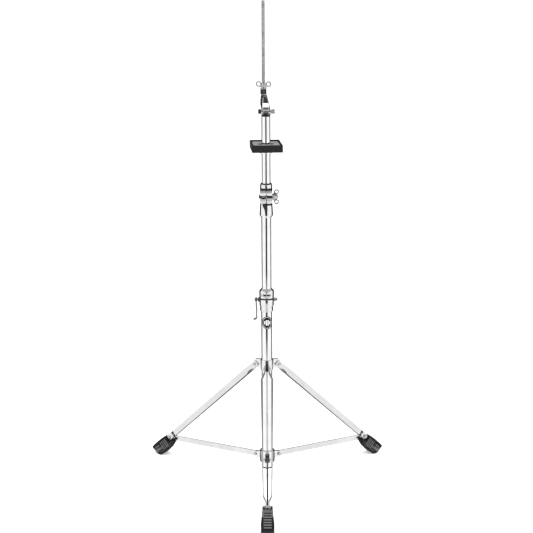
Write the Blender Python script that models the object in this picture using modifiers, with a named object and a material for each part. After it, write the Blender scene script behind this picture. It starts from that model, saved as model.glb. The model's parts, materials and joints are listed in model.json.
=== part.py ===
"""Telescoping percussion stand: a folding double-braced tripod, two sliding tubes,
a rubber support pad, and a tilter that carries a long threaded rod with a wing nut.

The stand's own frame has its axis at x = y = 0 and the floor at z = 0. An empty at the
top of the tree moves it so that the origin is the centre of the footprint. Lengths are
written in millimetres and scaled by MM. The front leg points to -Y.
"""
import math

import bmesh
import bpy
from mathutils import Matrix

MM = 0.001
GAP = 0.3 * MM

# Tubes: the usual telescoping set of 1 1/8", 1" and 7/8" tube, and an M8 rod.
BASE_TUBE_R = 14.3 * MM
MID_TUBE_R = 12.7 * MM
UPPER_TUBE_R = 11.1 * MM
TUBE_WALL = 1.2 * MM
ROD_R = 4.0 * MM
BASE_TUBE_Z = (30 * MM, 462 * MM)
MID_TUBE_Z = (290 * MM, 719.5 * MM)
UPPER_TUBE_Z = (560 * MM, 934.7 * MM)
ROD_Z = (985 * MM, 1210 * MM)
ROD_X = -5.6 * MM

# Tripod linkage, in the plane of one leg: radius from the axis and height.
PIVOT_RADIUS = 32.7 * MM
HUB_PIVOT_Z = 57.7 * MM
COLLAR_PIVOT_Z = 301.8 * MM
FOOT_BOLT_RADIUS = 304.2 * MM
FOOT_BOLT_Z = 51.0 * MM
LEG_AZIMUTHS = (-90, 30, 150)
REACH = FOOT_BOLT_RADIUS - PIVOT_RADIUS
LEG_LENGTH = math.hypot(REACH, COLLAR_PIVOT_Z - FOOT_BOLT_Z)
BRACE_LENGTH = math.hypot(REACH, HUB_PIVOT_Z - FOOT_BOLT_Z)
LEG_DIP = math.atan2(COLLAR_PIVOT_Z - FOOT_BOLT_Z, REACH)
BRACE_DIP = math.atan2(HUB_PIVOT_Z - FOOT_BOLT_Z, REACH)

# Leg strips, brace and foot.
STRIP_THICKNESS = 2.5 * MM
STRIP_HALF_DEPTH = 7.5 * MM
STRIP_TOP_OVERHANG = 8.4 * MM
STRIP_IN_FOOT = 41 * MM
BRACE_THICKNESS = 4 * MM
BRACE_HALF_DEPTH = 7.3 * MM
PIVOT_BOLT_R = 2.9 * MM
PIVOT_HOLE_R = 3.2 * MM
FOOT_NARROW = 12.3 * MM
FOOT_WIDE = 15.8 * MM

# Clamps: heights and offsets of their cross bolts from the axis.
CLAMP_BOLT_R = 3.0 * MM
CLAMP_HOLE_R = 3.3 * MM
BASE_CLAMP_BOLT = (21.5 * MM, 470 * MM)
LEVER_PIVOT_X = -26.5 * MM
MEMORY_BOLT = (-21.5 * MM, 491 * MM)
UPPER_CLAMP_BOLT = (-18.6 * MM, 740 * MM)
COLLAR_SCREW_Z = 306 * MM

# Support pad and tilter.
PAD_SIZE = (74 * MM, 114 * MM, 18 * MM)
PAD_BOTTOM_Z = 853 * MM
PAD_RIM = 4 * MM
PAD_RECESS = 5.8 * MM
PAD_SLOT_HALF_WIDTH = 11.7 * MM
PAD_SLOT_HALF_LENGTH = 21 * MM
PAD_YAW = math.radians(4)
TILT_AXIS_Z = 946.3 * MM

# The footprint's centre lies in front of the axis, because one leg points forwards.
TOE = (60.5 * MM, 10.2 * MM)
TOE_RADIUS = FOOT_BOLT_RADIUS + math.cos(LEG_DIP) * TOE[0] + math.sin(LEG_DIP) * TOE[1]
REAR_REACH = TOE_RADIUS * 0.5 + FOOT_WIDE * math.cos(math.radians(30))
AXIS_Y = (TOE_RADIUS - REAR_REACH) / 2

SEGMENTS = 24
SMALL_SEGMENTS = 12


# ---------------------------------------------------------------- scene and materials

def clear_scene():
    for item in list(bpy.data.objects):
        bpy.data.objects.remove(item)


def new_collection(name):
    collection = bpy.data.collections.new(name)
    bpy.context.scene.collection.children.link(collection)
    return collection


def finish_material(name, colour, roughness, metallic):
    finish = bpy.data.materials.new(name)
    finish.use_nodes = True
    shader = finish.node_tree.nodes["Principled BSDF"]
    shader.inputs["Base Color"].default_value = (*colour, 1)
    shader.inputs["Roughness"].default_value = roughness
    shader.inputs["Metallic"].default_value = metallic
    finish.diffuse_color = (*colour, 1)
    return finish


clear_scene()
PARTS = new_collection("percussion_stand")
CUTTERS = new_collection("cutters")
CHROME = finish_material("chrome", (0.80, 0.80, 0.82), 0.06, 1.0)
STEEL = finish_material("zinc_steel", (0.62, 0.62, 0.64), 0.25, 1.0)
DARK_STEEL = finish_material("dark_steel", (0.08, 0.08, 0.085), 0.35, 1.0)
RUBBER = finish_material("black_rubber", (0.015, 0.015, 0.017), 0.65, 0.0)
NYLON = finish_material("black_nylon", (0.02, 0.02, 0.022), 0.4, 0.0)
MAT_GREY = finish_material("pad_mat", (0.12, 0.12, 0.13), 0.8, 0.0)
BADGE = finish_material("badge_black", (0.01, 0.01, 0.01), 0.2, 0.0)


# ---------------------------------------------------------------- modelling helpers

def add_object(name, mesh, finish):
    piece = bpy.data.objects.new(name, mesh)
    PARTS.objects.link(piece)
    mesh.materials.clear()
    mesh.materials.append(finish)
    return piece


def add_tool(mesh):
    tool = bpy.data.objects.new("tool", mesh)
    CUTTERS.objects.link(tool)
    tool.hide_render = True
    tool.display_type = "WIRE"
    return tool


def pivot(name, location, rotation=(0, 0, 0), parent=None):
    empty = bpy.data.objects.new(name, None)
    PARTS.objects.link(empty)
    empty.location = location
    empty.rotation_euler = rotation
    empty.parent = parent
    return empty


def attach(piece, parent):
    """Put a piece, and the tools that shape it, in a parent's frame."""
    piece.parent = parent
    for step in piece.modifiers:
        if step.type == "BOOLEAN":
            step.object.parent = parent
    return piece


def boolean(piece, mesh, operation):
    step = piece.modifiers.new(operation.lower(), "BOOLEAN")
    step.operation = operation
    step.solver = "EXACT"
    step.object = add_tool(mesh)


def cut(piece, *meshes):
    for mesh in meshes:
        boolean(piece, mesh, "DIFFERENCE")
    return piece


def join(piece, *meshes):
    for mesh in meshes:
        boolean(piece, mesh, "UNION")
    return piece


def keep_inside(piece, mesh):
    boolean(piece, mesh, "INTERSECT")
    return piece


def baked(piece):
    """The evaluated mesh of a piece, which is removed with its tools."""
    bpy.context.view_layer.update()
    graph = bpy.context.evaluated_depsgraph_get()
    mesh = bpy.data.meshes.new_from_object(piece.evaluated_get(graph))
    tools = [step.object for step in piece.modifiers if step.type == "BOOLEAN"]
    bpy.data.objects.remove(piece)
    for tool in tools:
        bpy.data.objects.remove(tool)
    return mesh


def weld(mesh):
    work = bmesh.new()
    work.from_mesh(mesh)
    bmesh.ops.remove_doubles(work, verts=work.verts, dist=1e-6)
    work.to_mesh(mesh)
    work.free()
    return mesh


def box(x, y, z):
    """A box between pairs of limits along each axis."""
    work = bmesh.new()
    bmesh.ops.create_cube(work, size=1)
    size = Matrix.Diagonal((x[1] - x[0], y[1] - y[0], z[1] - z[0], 1))
    centre = Matrix.Translation(((x[0] + x[1]) / 2, (y[0] + y[1]) / 2, (z[0] + z[1]) / 2))
    bmesh.ops.transform(work, matrix=centre @ size, verts=work.verts)
    mesh = bpy.data.meshes.new("box")
    work.to_mesh(mesh)
    work.free()
    return mesh


def cylinder(radius, low, high, axis="Z", at=(0, 0), segments=SMALL_SEGMENTS):
    """A cylinder along one axis between two limits; `at` is its place on the other two."""
    work = bmesh.new()
    bmesh.ops.create_cone(
        work, cap_ends=True, segments=segments, radius1=radius, radius2=radius, depth=high - low
    )
    turn = {
        "X": Matrix.Rotation(math.pi / 2, 4, "Y"),
        "Y": Matrix.Rotation(-math.pi / 2, 4, "X"),
        "Z": Matrix.Identity(4),
    }[axis]
    middle = (low + high) / 2
    place = {
        "X": (middle, at[0], at[1]),
        "Y": (at[0], middle, at[1]),
        "Z": (at[0], at[1], middle),
    }[axis]
    bmesh.ops.transform(work, matrix=Matrix.Translation(place) @ turn, verts=work.verts)
    mesh = bpy.data.meshes.new("cylinder")
    work.to_mesh(mesh)
    work.free()
    return mesh


def turned(name, profile, finish, closed=True, segments=SEGMENTS):
    """A turned piece: the profile holds (radius, height) down the outer side, then inside."""
    mesh = bpy.data.meshes.new(name)
    count = len(profile)
    edges = [(i, (i + 1) % count) for i in range(count if closed else count - 1)]
    mesh.from_pydata([(radius, 0, height) for radius, height in profile], edges, [])
    piece = add_object(name, mesh, finish)
    spin = piece.modifiers.new("turn", "SCREW")
    spin.angle = math.tau
    spin.steps = segments
    spin.render_steps = segments
    spin.use_merge_vertices = True
    spin.merge_threshold = 0.00001
    return piece


def ring(name, inner, outer, low, high, finish, chamfer=0.0, segments=SEGMENTS):
    profile = [
        (outer - chamfer, high),
        (outer, high - chamfer),
        (outer, low + chamfer),
        (outer - chamfer, low),
        (inner, low),
        (inner, high),
    ]
    if chamfer == 0:
        profile = [profile[0], profile[2], profile[4], profile[5]]
    return turned(name, profile, finish, segments=segments)


def turned_bolt(spans, segments=SMALL_SEGMENTS):
    """A solid of round steps along Z; spans hold (radius, low, high) from the top down."""
    profile = [(0, spans[0][2])]
    for radius, low, high in spans:
        profile += [(radius, high), (radius, low)]
    profile.append((0, spans[-1][1]))
    return baked(turned("bolt", profile, STEEL, closed=False, segments=segments))


def aimed(mesh, direction, offset=(0, 0, 0)):
    """Turn a mesh built along +Z to run along +X or +Y, then move it."""
    turn = {
        "X": Matrix.Rotation(math.pi / 2, 4, "Y"),
        "Y": Matrix.Rotation(-math.pi / 2, 4, "X"),
        "Z": Matrix.Identity(4),
    }[direction]
    mesh.transform(Matrix.Translation(offset) @ turn)
    return mesh


def arc(centre_x, centre_y, radius, start, end, count):
    """Points along an arc, both ends included, angles in degrees."""
    points = []
    for i in range(count + 1):
        angle = math.radians(start + (end - start) * i / count)
        points.append((centre_x + radius * math.cos(angle), centre_y + radius * math.sin(angle)))
    return points


def circle(centre_x, centre_y, radius, count=SMALL_SEGMENTS):
    return arc(centre_x, centre_y, radius, 0, 360 - 360 / count, count - 1)


def plate(outline, thickness, holes=(), upright=False):
    """A flat plate in XY, or standing in XZ, whose thickness is centred on its plane."""
    curve = bpy.data.curves.new("outline", "CURVE")
    curve.dimensions = "2D"
    curve.fill_mode = "BOTH"
    curve.extrude = thickness / 2
    for loop in (outline, *holes):
        spline = curve.splines.new("POLY")
        spline.points.add(len(loop) - 1)
        for point, (x, y) in zip(spline.points, loop):
            point.co = (x, y, 0, 1)
        spline.use_cyclic_u = True
    shape = bpy.data.objects.new("outline", curve)
    CUTTERS.objects.link(shape)
    mesh = weld(baked(shape))
    bpy.data.curves.remove(curve)
    if upright:
        mesh.transform(Matrix.Rotation(math.pi / 2, 4, "X"))
    return mesh


def around_axis(mesh, azimuth):
    """A copy of a mesh built in the plane of azimuth 0, turned about the stand's axis."""
    copy = mesh.copy()
    copy.transform(Matrix.Rotation(math.radians(azimuth), 4, "Z"))
    return copy


def smooth(piece, angle=35):
    """Smooth round sides and keep edges above the angle sharp."""
    piece.data.shade_smooth()
    piece.data.set_sharp_from_angle(angle=math.radians(angle))
    return piece


# ---------------------------------------------------------------- wing nuts and screws

def wing(hub_r, lobe_x, lobe_z, lobe_r, hole_r, root_z, thickness):
    """One looped wing in the XZ plane, from inside the hub's wall out to a round lobe."""
    root_x = hub_r - 1.2 * MM
    outline = [(root_x, root_z[0]), *arc(lobe_x, lobe_z, lobe_r, -70, 120, 9), (root_x, root_z[1])]
    holes = [circle(lobe_x, lobe_z, hole_r, 10)]
    return plate(outline, thickness, holes, upright=True)


def wing_nut_mesh(hub_r, length, span, lobe_z, lobe_r, bore_r, stud=None):
    """A looped wing nut along +Z from its bearing face, or a wing screw with a stud below."""
    foot = (hub_r, 0)
    side = [(hub_r * 0.72, length), (hub_r, length * 0.45), foot]
    if stud is None:
        nut = turned("wing_nut", [*side, (bore_r, 0), (bore_r, length)], CHROME, segments=20)
    else:
        stud_r, stud_length = stud
        stem = [(stud_r, 0), (stud_r, -stud_length), (0, -stud_length)]
        nut = turned("wing_screw", [(0, length), *side, *stem], CHROME, closed=False, segments=20)
    right = wing(
        hub_r, span - lobe_r, lobe_z, lobe_r, lobe_r * 0.45,
        (1.5 * MM, length * 0.85), 3.6 * MM,
    )
    left = right.copy()
    left.transform(Matrix.Rotation(math.pi, 4, "Z"))
    join(nut, right, left)
    return baked(nut)


# ---------------------------------------------------------------- root: base tube and hub

def base_tube(stand):
    low, high = BASE_TUBE_Z
    tube = ring("base_tube", BASE_TUBE_R - TUBE_WALL, BASE_TUBE_R, low, high, CHROME)
    attach(smooth(tube), stand)
    spigot_r = BASE_TUBE_R - TUBE_WALL - GAP
    plug = turned(
        "base_tube_plug",
        [
            (0, low + 15 * MM),
            (spigot_r, low + 15 * MM),
            (spigot_r, low - GAP),
            (BASE_TUBE_R, low - GAP),
            (BASE_TUBE_R, low - 3 * MM),
            (BASE_TUBE_R - MM, low - 4 * MM),
            (0, low - 4 * MM),
        ],
        NYLON,
        closed=False,
    )
    attach(smooth(plug), stand)


def badge(stand):
    """A thin round plate wrapped on the tube's front, turned a few degrees to one side."""
    centre_z = 418.4 * MM
    half_height = 16.9 * MM
    half_width = 12.9 * MM
    shell = ring(
        "badge_plate", BASE_TUBE_R + GAP, BASE_TUBE_R + 0.9 * MM,
        centre_z - 20 * MM, centre_z + 20 * MM, BADGE,
    )
    disc = cylinder(half_height, -20 * MM, 0, "Y", (0, 0), segments=36)
    disc.transform(Matrix.Diagonal((half_width / half_height, 1, 1, 1)))
    disc.transform(Matrix.Translation((0, 0, centre_z)))
    keep_inside(shell, disc)
    attach(smooth(shell), stand)
    shell.rotation_euler.z = math.radians(5)


def hub_ear(side):
    """One of a clevis's two ears, in the plane of azimuth 0."""
    inner = 15.6 * MM
    eye = 7.2 * MM
    z = HUB_PIVOT_Z
    outline = [
        (inner, z - 9 * MM),
        (PIVOT_RADIUS - 7 * MM, z - 9 * MM),
        *arc(PIVOT_RADIUS, z, eye, -110, 110, 10),
        (PIVOT_RADIUS - 9 * MM, z + 9.5 * MM),
        (inner, z + 12 * MM),
    ]
    ear = plate(outline, 3 * MM, [circle(PIVOT_RADIUS, z, PIVOT_HOLE_R)], upright=True)
    ear.transform(Matrix.Translation((0, side * 3.9 * MM, 0)))
    return ear


def lower_hub(stand):
    hub = ring(
        "lower_hub", BASE_TUBE_R + GAP, 19.5 * MM, 43 * MM, 74.5 * MM, CHROME, chamfer=1.5 * MM
    )
    for azimuth in LEG_AZIMUTHS:
        for side in (-1, 1):
            join(hub, around_axis(hub_ear(side), azimuth))
    attach(smooth(hub), stand)
    bolt = pivot_bolt(5.4 * MM)
    bolt.transform(Matrix.Translation((PIVOT_RADIUS, 0, HUB_PIVOT_Z)))
    for number, azimuth in enumerate(LEG_AZIMUTHS, start=1):
        piece = add_object(f"hub_pivot_bolt_{number}", around_axis(bolt, azimuth), STEEL)
        attach(smooth(piece), stand)


def pivot_bolt(half_grip):
    """A bolt along Y with its lock nut run up on it, as one turned solid."""
    face = half_grip + GAP
    head = face + 2.8 * MM
    nut = -face - 3.4 * MM
    spans = [
        (4.2 * MM, face, head),
        (PIVOT_BOLT_R, -face, face),
        (4.8 * MM, nut, -face),
        (PIVOT_BOLT_R, nut - 0.8 * MM, nut),
    ]
    return aimed(turned_bolt(spans), "Y")


# ---------------------------------------------------------------- root: base clamp

def base_clamp(stand):
    bolt_y, bolt_z = BASE_CLAMP_BOLT
    seat_z = 462.3 * MM
    tube_bore = BASE_TUBE_R + 0.35 * MM
    bush_bore = 15.95 * MM
    clamp = turned(
        "base_clamp",
        [
            (0, 477.4 * MM),
            (18.6 * MM, 477.4 * MM),
            (18.6 * MM, 460.6 * MM),
            (17.1 * MM, 459.4 * MM),
            (17.1 * MM, 447.4 * MM),
            (15.6 * MM, 445.3 * MM),
            (0, 445.3 * MM),
        ],
        CHROME,
        closed=False,
    )
    join(clamp, box((-17.5 * MM, 17.5 * MM), (10 * MM, 27.5 * MM), (461 * MM, 477 * MM)))
    cut(
        clamp,
        cylinder(tube_bore, 440 * MM, 470 * MM, segments=SEGMENTS),
        cylinder(bush_bore, seat_z, 485 * MM, segments=SEGMENTS),
        box((-0.8 * MM, 0.8 * MM), (12 * MM, 32 * MM), (440 * MM, 485 * MM)),
        cylinder(CLAMP_HOLE_R, -30 * MM, 30 * MM, "X", (bolt_y, bolt_z)),
    )
    attach(smooth(clamp), stand)
    bush = turned(
        "base_clamp_bush",
        [
            (MID_TUBE_R + GAP, 480.7 * MM),
            (17.8 * MM, 480.7 * MM),
            (17.8 * MM, 477.7 * MM),
            (bush_bore - 0.35 * MM, 477.7 * MM),
            (bush_bore - 0.35 * MM, seat_z + GAP),
            (MID_TUBE_R + GAP, seat_z + GAP),
        ],
        NYLON,
    )
    attach(smooth(bush), stand)

    eye_end = LEVER_PIVOT_X - 2.6 * MM
    shank = turned_bolt([(CLAMP_BOLT_R, eye_end, 28 * MM)])
    bolt = add_object("base_clamp_bolt", aimed(shank, "X", (0, bolt_y, bolt_z)), STEEL)
    cut(bolt, cylinder(2.1 * MM, bolt_y - 6 * MM, bolt_y + 6 * MM, "Y", (LEVER_PIVOT_X, bolt_z)))
    attach(smooth(bolt), stand)
    nut = baked(ring("nut", CLAMP_HOLE_R, 5.2 * MM, 17.9 * MM, 25.5 * MM, STEEL, 0.8 * MM, 12))
    nut = add_object("base_clamp_nut", aimed(nut, "X", (0, bolt_y, bolt_z)), CHROME)
    attach(nut, stand)
    seat = baked(ring("seat", CLAMP_HOLE_R, 6.5 * MM, -21.5 * MM, -17.9 * MM, NYLON, 0.6 * MM, 20))
    seat = add_object("lever_cam_seat", aimed(seat, "X", (0, bolt_y, bolt_z)), NYLON)
    attach(smooth(seat), stand)


def clamp_lever(stand):
    """The quick-release lever, in a frame on its cross pin; it swings out about +Y."""
    bolt_y, bolt_z = BASE_CLAMP_BOLT
    hinge = pivot("clamp_lever_pivot", (LEVER_PIVOT_X, bolt_y, bolt_z), parent=stand)
    head_r = 4.6 * MM
    half_width = 5.5 * MM
    arm = [
        (2.2 * MM, -3 * MM),
        (2.4 * MM, -30 * MM),
        (1.9 * MM, -43 * MM),
        *arc(-4.2 * MM, -45.5 * MM, 7.6 * MM, 0, -110, 5),
        (-8.0 * MM, -51.6 * MM),
        *arc(-4.4 * MM, -46.0 * MM, 3.4 * MM, -110, 0, 4),
        (-1.6 * MM, -43 * MM),
        (-1.5 * MM, -30 * MM),
        (-2.2 * MM, -3 * MM),
    ]
    head = cylinder(head_r, -half_width, half_width, "Y", segments=20)
    lever = add_object("clamp_lever", head, CHROME)
    join(lever, plate(arm, 2 * half_width - 1.2 * MM, upright=True))
    cut(
        lever,
        box((-8 * MM, 8 * MM), (-3.4 * MM, 3.4 * MM), (-4.3 * MM, 8 * MM)),
        cylinder(2.1 * MM, -8 * MM, 8 * MM, "Y"),
    )
    attach(smooth(lever), hinge)
    pin = add_object("clamp_lever_pin", cylinder(1.8 * MM, -half_width, half_width, "Y"), STEEL)
    attach(smooth(pin), hinge)


# ---------------------------------------------------------------- middle tube

def mid_tube(stand):
    slide = pivot("mid_tube_slide", (0, 0, 0), parent=stand)
    low, high = MID_TUBE_Z
    tube = ring("mid_tube", MID_TUBE_R - TUBE_WALL, MID_TUBE_R, low, high, CHROME)
    attach(smooth(tube), slide)
    memory_lock(slide)
    upper_clamp(slide)
    return slide


def memory_lock(slide):
    """The split ring that rests on the base clamp and remembers the tube's height."""
    bolt_y, bolt_z = MEMORY_BOLT
    bore = MID_TUBE_R + 0.35 * MM
    lock = turned(
        "memory_lock",
        [
            (0, 504.6 * MM),
            (13.8 * MM, 504.6 * MM),
            (18.6 * MM, 500.2 * MM),
            (19.0 * MM, 499.2 * MM),
            (19.0 * MM, 481.8 * MM),
            (18.2 * MM, 481.0 * MM),
            (0, 481.0 * MM),
        ],
        CHROME,
        closed=False,
    )
    join(lock, box((-7.5 * MM, 7.5 * MM), (-25.5 * MM, -12 * MM), (484.5 * MM, 498 * MM)))
    cut(
        lock,
        cylinder(bore, 475 * MM, 510 * MM, segments=SEGMENTS),
        box((-0.9 * MM, 0.9 * MM), (-30 * MM, -11 * MM), (475 * MM, 510 * MM)),
        cylinder(2.8 * MM, -20 * MM, 20 * MM, "X", (bolt_y, bolt_z)),
    )
    attach(smooth(lock), slide)
    key_bolt = turned_bolt(
        [(2.5 * MM, -7.8 * MM, 11 * MM), (4.2 * MM, -9.4 * MM, -7.8 * MM),
         (2.6 * MM, -13.4 * MM, -9.4 * MM)]
    )
    bolt = add_object("memory_lock_bolt", aimed(key_bolt, "X", (0, bolt_y, bolt_z)), STEEL)
    attach(smooth(bolt), slide)


def upper_clamp(slide):
    bolt_y, bolt_z = UPPER_CLAMP_BOLT
    bore = MID_TUBE_R + 0.35 * MM
    body_r = 15.4 * MM
    clamp = turned(
        "upper_clamp",
        [
            (0, 769 * MM),
            (body_r - 1.4 * MM, 769 * MM),
            (body_r, 767.6 * MM),
            (body_r, 721.5 * MM),
            (17.0 * MM, 698 * MM),
            (17.0 * MM, 695.5 * MM),
            (14.0 * MM, 686.3 * MM),
            (0, 686.3 * MM),
        ],
        CHROME,
        closed=False,
    )
    front = -24.5 * MM
    outside = -32 * MM
    join(clamp, box((-14.6 * MM, 14.6 * MM), (front, -9 * MM), (724 * MM, 751 * MM)))
    cut(
        clamp,
        cylinder(bore, 680 * MM, 775 * MM, segments=SEGMENTS),
        box((-20 * MM, 20 * MM), (outside, -1.5 * MM), (751.6 * MM, 756.6 * MM)),
        box((0, 1.6 * MM), (outside, -9 * MM), (717 * MM, 754 * MM)),
        box((0, 20 * MM), (outside, -1.5 * MM), (717 * MM, 721.6 * MM)),
        box((-11 * MM, -2 * MM), (outside, -21 * MM), (734.6 * MM, 742.8 * MM)),
        cylinder(CLAMP_HOLE_R, -30 * MM, 30 * MM, "X", (bolt_y, bolt_z)),
    )
    attach(smooth(clamp), slide)

    bush = turned(
        "upper_clamp_bush",
        [
            (UPPER_TUBE_R + GAP, 771.2 * MM),
            (13.9 * MM, 771.2 * MM),
            (13.9 * MM, 769.3 * MM),
            (bore - 0.35 * MM, 769.3 * MM),
            (bore - 0.35 * MM, MID_TUBE_Z[1] + GAP),
            (UPPER_TUBE_R + GAP, MID_TUBE_Z[1] + GAP),
        ],
        NYLON,
    )
    attach(smooth(bush), slide)
    shank = turned_bolt(
        [(CLAMP_BOLT_R, -14.9 * MM, 30 * MM), (5.2 * MM, -18.4 * MM, -14.9 * MM)]
    )
    bolt = add_object("upper_clamp_bolt", aimed(shank, "X", (0, bolt_y, bolt_z)), STEEL)
    attach(smooth(bolt), slide)
    turn = pivot(
        "upper_clamp_wing_pivot", (15 * MM, bolt_y, bolt_z), (0, math.pi / 2, 0), parent=slide
    )
    nut = wing_nut_mesh(6.8 * MM, 13 * MM, 19.5 * MM, 13 * MM, 6.2 * MM, CLAMP_HOLE_R)
    attach(smooth(add_object("upper_clamp_wing_nut", nut, CHROME)), turn)


# ---------------------------------------------------------------- upper tube, pad, tilter

def upper_tube(mid_slide):
    slide = pivot("upper_tube_slide", (0, 0, 0), parent=mid_slide)
    low, high = UPPER_TUBE_Z
    tube = ring("upper_tube", UPPER_TUBE_R - TUBE_WALL, UPPER_TUBE_R, low, high, CHROME)
    attach(smooth(tube), slide)
    return slide


def support_pad(upper_slide):
    """A slotted rubber pad that turns on a split collar, which slides on the upper tube."""
    slide = pivot("pad_slide", (0, 0, PAD_BOTTOM_Z), parent=upper_slide)
    collar = ring(
        "pad_collar", UPPER_TUBE_R + 0.35 * MM, 15.2 * MM, -8 * MM, -GAP, CHROME, 0.8 * MM
    )
    cut(
        collar,
        cylinder(2.3 * MM, 8 * MM, 20 * MM, "Y", (0, -4.2 * MM)),
        box((-20 * MM, -8 * MM), (-0.7 * MM, 0.7 * MM), (-10 * MM, 2 * MM)),
    )
    attach(smooth(collar), slide)
    screw = turned_bolt([(2.0 * MM, UPPER_TUBE_R + GAP, 16.5 * MM)], 12)
    screw = add_object("pad_collar_screw", aimed(screw, "Y", (0, 0, -4.2 * MM)), DARK_STEEL)
    attach(screw, slide)

    swivel = pivot("pad_swivel", (0, 0, 0), (0, 0, PAD_YAW), parent=slide)
    width, depth, height = PAD_SIZE
    tray_box = box((-width / 2, width / 2), (-depth / 2, depth / 2), (0, height))
    tray = add_object("pad_tray", tray_box, RUBBER)
    rounding = tray.modifiers.new("rounding", "BEVEL")
    rounding.width = 2 * MM
    rounding.segments = 2
    inner_x = width / 2 - PAD_RIM
    inner_y = depth / 2 - PAD_RIM
    cut(
        tray,
        box((-inner_x, inner_x), (-inner_y, inner_y), (height - PAD_RECESS, height + 5 * MM)),
        pad_slot(),
    )
    attach(tray, swivel)
    mat_low = height - PAD_RECESS + GAP
    margin = 0.4 * MM
    mat_box = box(
        (margin - inner_x, inner_x - margin), (margin - inner_y, inner_y - margin),
        (mat_low, mat_low + 2 * MM),
    )
    mat = cut(add_object("pad_mat", mat_box, MAT_GREY), pad_slot())
    attach(mat, swivel)


def pad_slot():
    """The round-ended slot that the tube passes through."""
    reach = PAD_SLOT_HALF_LENGTH - PAD_SLOT_HALF_WIDTH
    outline = arc(reach, 0, PAD_SLOT_HALF_WIDTH, -90, 90, 12)
    outline += arc(-reach, 0, PAD_SLOT_HALF_WIDTH, 90, 270, 12)
    return plate(outline, 80 * MM)


def tilter_base(upper_slide):
    """The plug in the tube's top with a domed tongue, and the bolt that crosses it."""
    frame = pivot("tilter_base_frame", (0, 0, TILT_AXIS_Z), parent=upper_slide)
    top = UPPER_TUBE_Z[1] - TILT_AXIS_Z
    flange_top = -9.0 * MM
    plug_r = UPPER_TUBE_R - TUBE_WALL - GAP
    plug = turned(
        "tilter_base",
        [
            (0, flange_top),
            (UPPER_TUBE_R - 0.6 * MM, flange_top),
            (UPPER_TUBE_R, flange_top - 0.6 * MM),
            (UPPER_TUBE_R, top + GAP),
            (plug_r, top + GAP),
            (plug_r, top - 28 * MM),
            (0, top - 28 * MM),
        ],
        CHROME,
        closed=False,
    )
    dome = [(9.2 * MM, -10 * MM), *arc(0, 0, 10.3 * MM, -12, 192, 14), (-9.2 * MM, -10 * MM)]
    tongue = plate(dome, 14.4 * MM, [circle(0, 0, CLAMP_HOLE_R)], upright=True)
    tongue.transform(Matrix.Rotation(math.pi / 2, 4, "Z"))
    join(plug, tongue)
    attach(smooth(plug), frame)

    bolt = aimed(turned_bolt([(CLAMP_BOLT_R, -16 * MM, 21 * MM)]), "X")
    attach(smooth(add_object("tilter_bolt", bolt, STEEL)), frame)
    cap = turned(
        "tilter_end_cap",
        [
            (CLAMP_HOLE_R, -11.6 * MM),
            (5.8 * MM, -11.6 * MM),
            (5.8 * MM, -17.0 * MM),
            (4.2 * MM, -18.8 * MM),
            (0, -18.8 * MM),
            (0, -16.3 * MM),
            (CLAMP_HOLE_R, -16.3 * MM),
        ],
        NYLON,
        segments=20,
    )
    cap = add_object("tilter_end_cap", aimed(baked(cap), "X"), NYLON)
    attach(smooth(cap), frame)
    turn = pivot("tilter_wing_pivot", (12.9 * MM, 0, 0), (0, math.pi / 2, 0), parent=frame)
    nut = wing_nut_mesh(5.2 * MM, 7.5 * MM, 14 * MM, 5.2 * MM, 4.2 * MM, CLAMP_HOLE_R)
    nut.transform(Matrix.Rotation(math.radians(-60), 4, "Z"))
    attach(smooth(add_object("tilter_wing_nut", nut, CHROME)), turn)
    return frame


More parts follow.
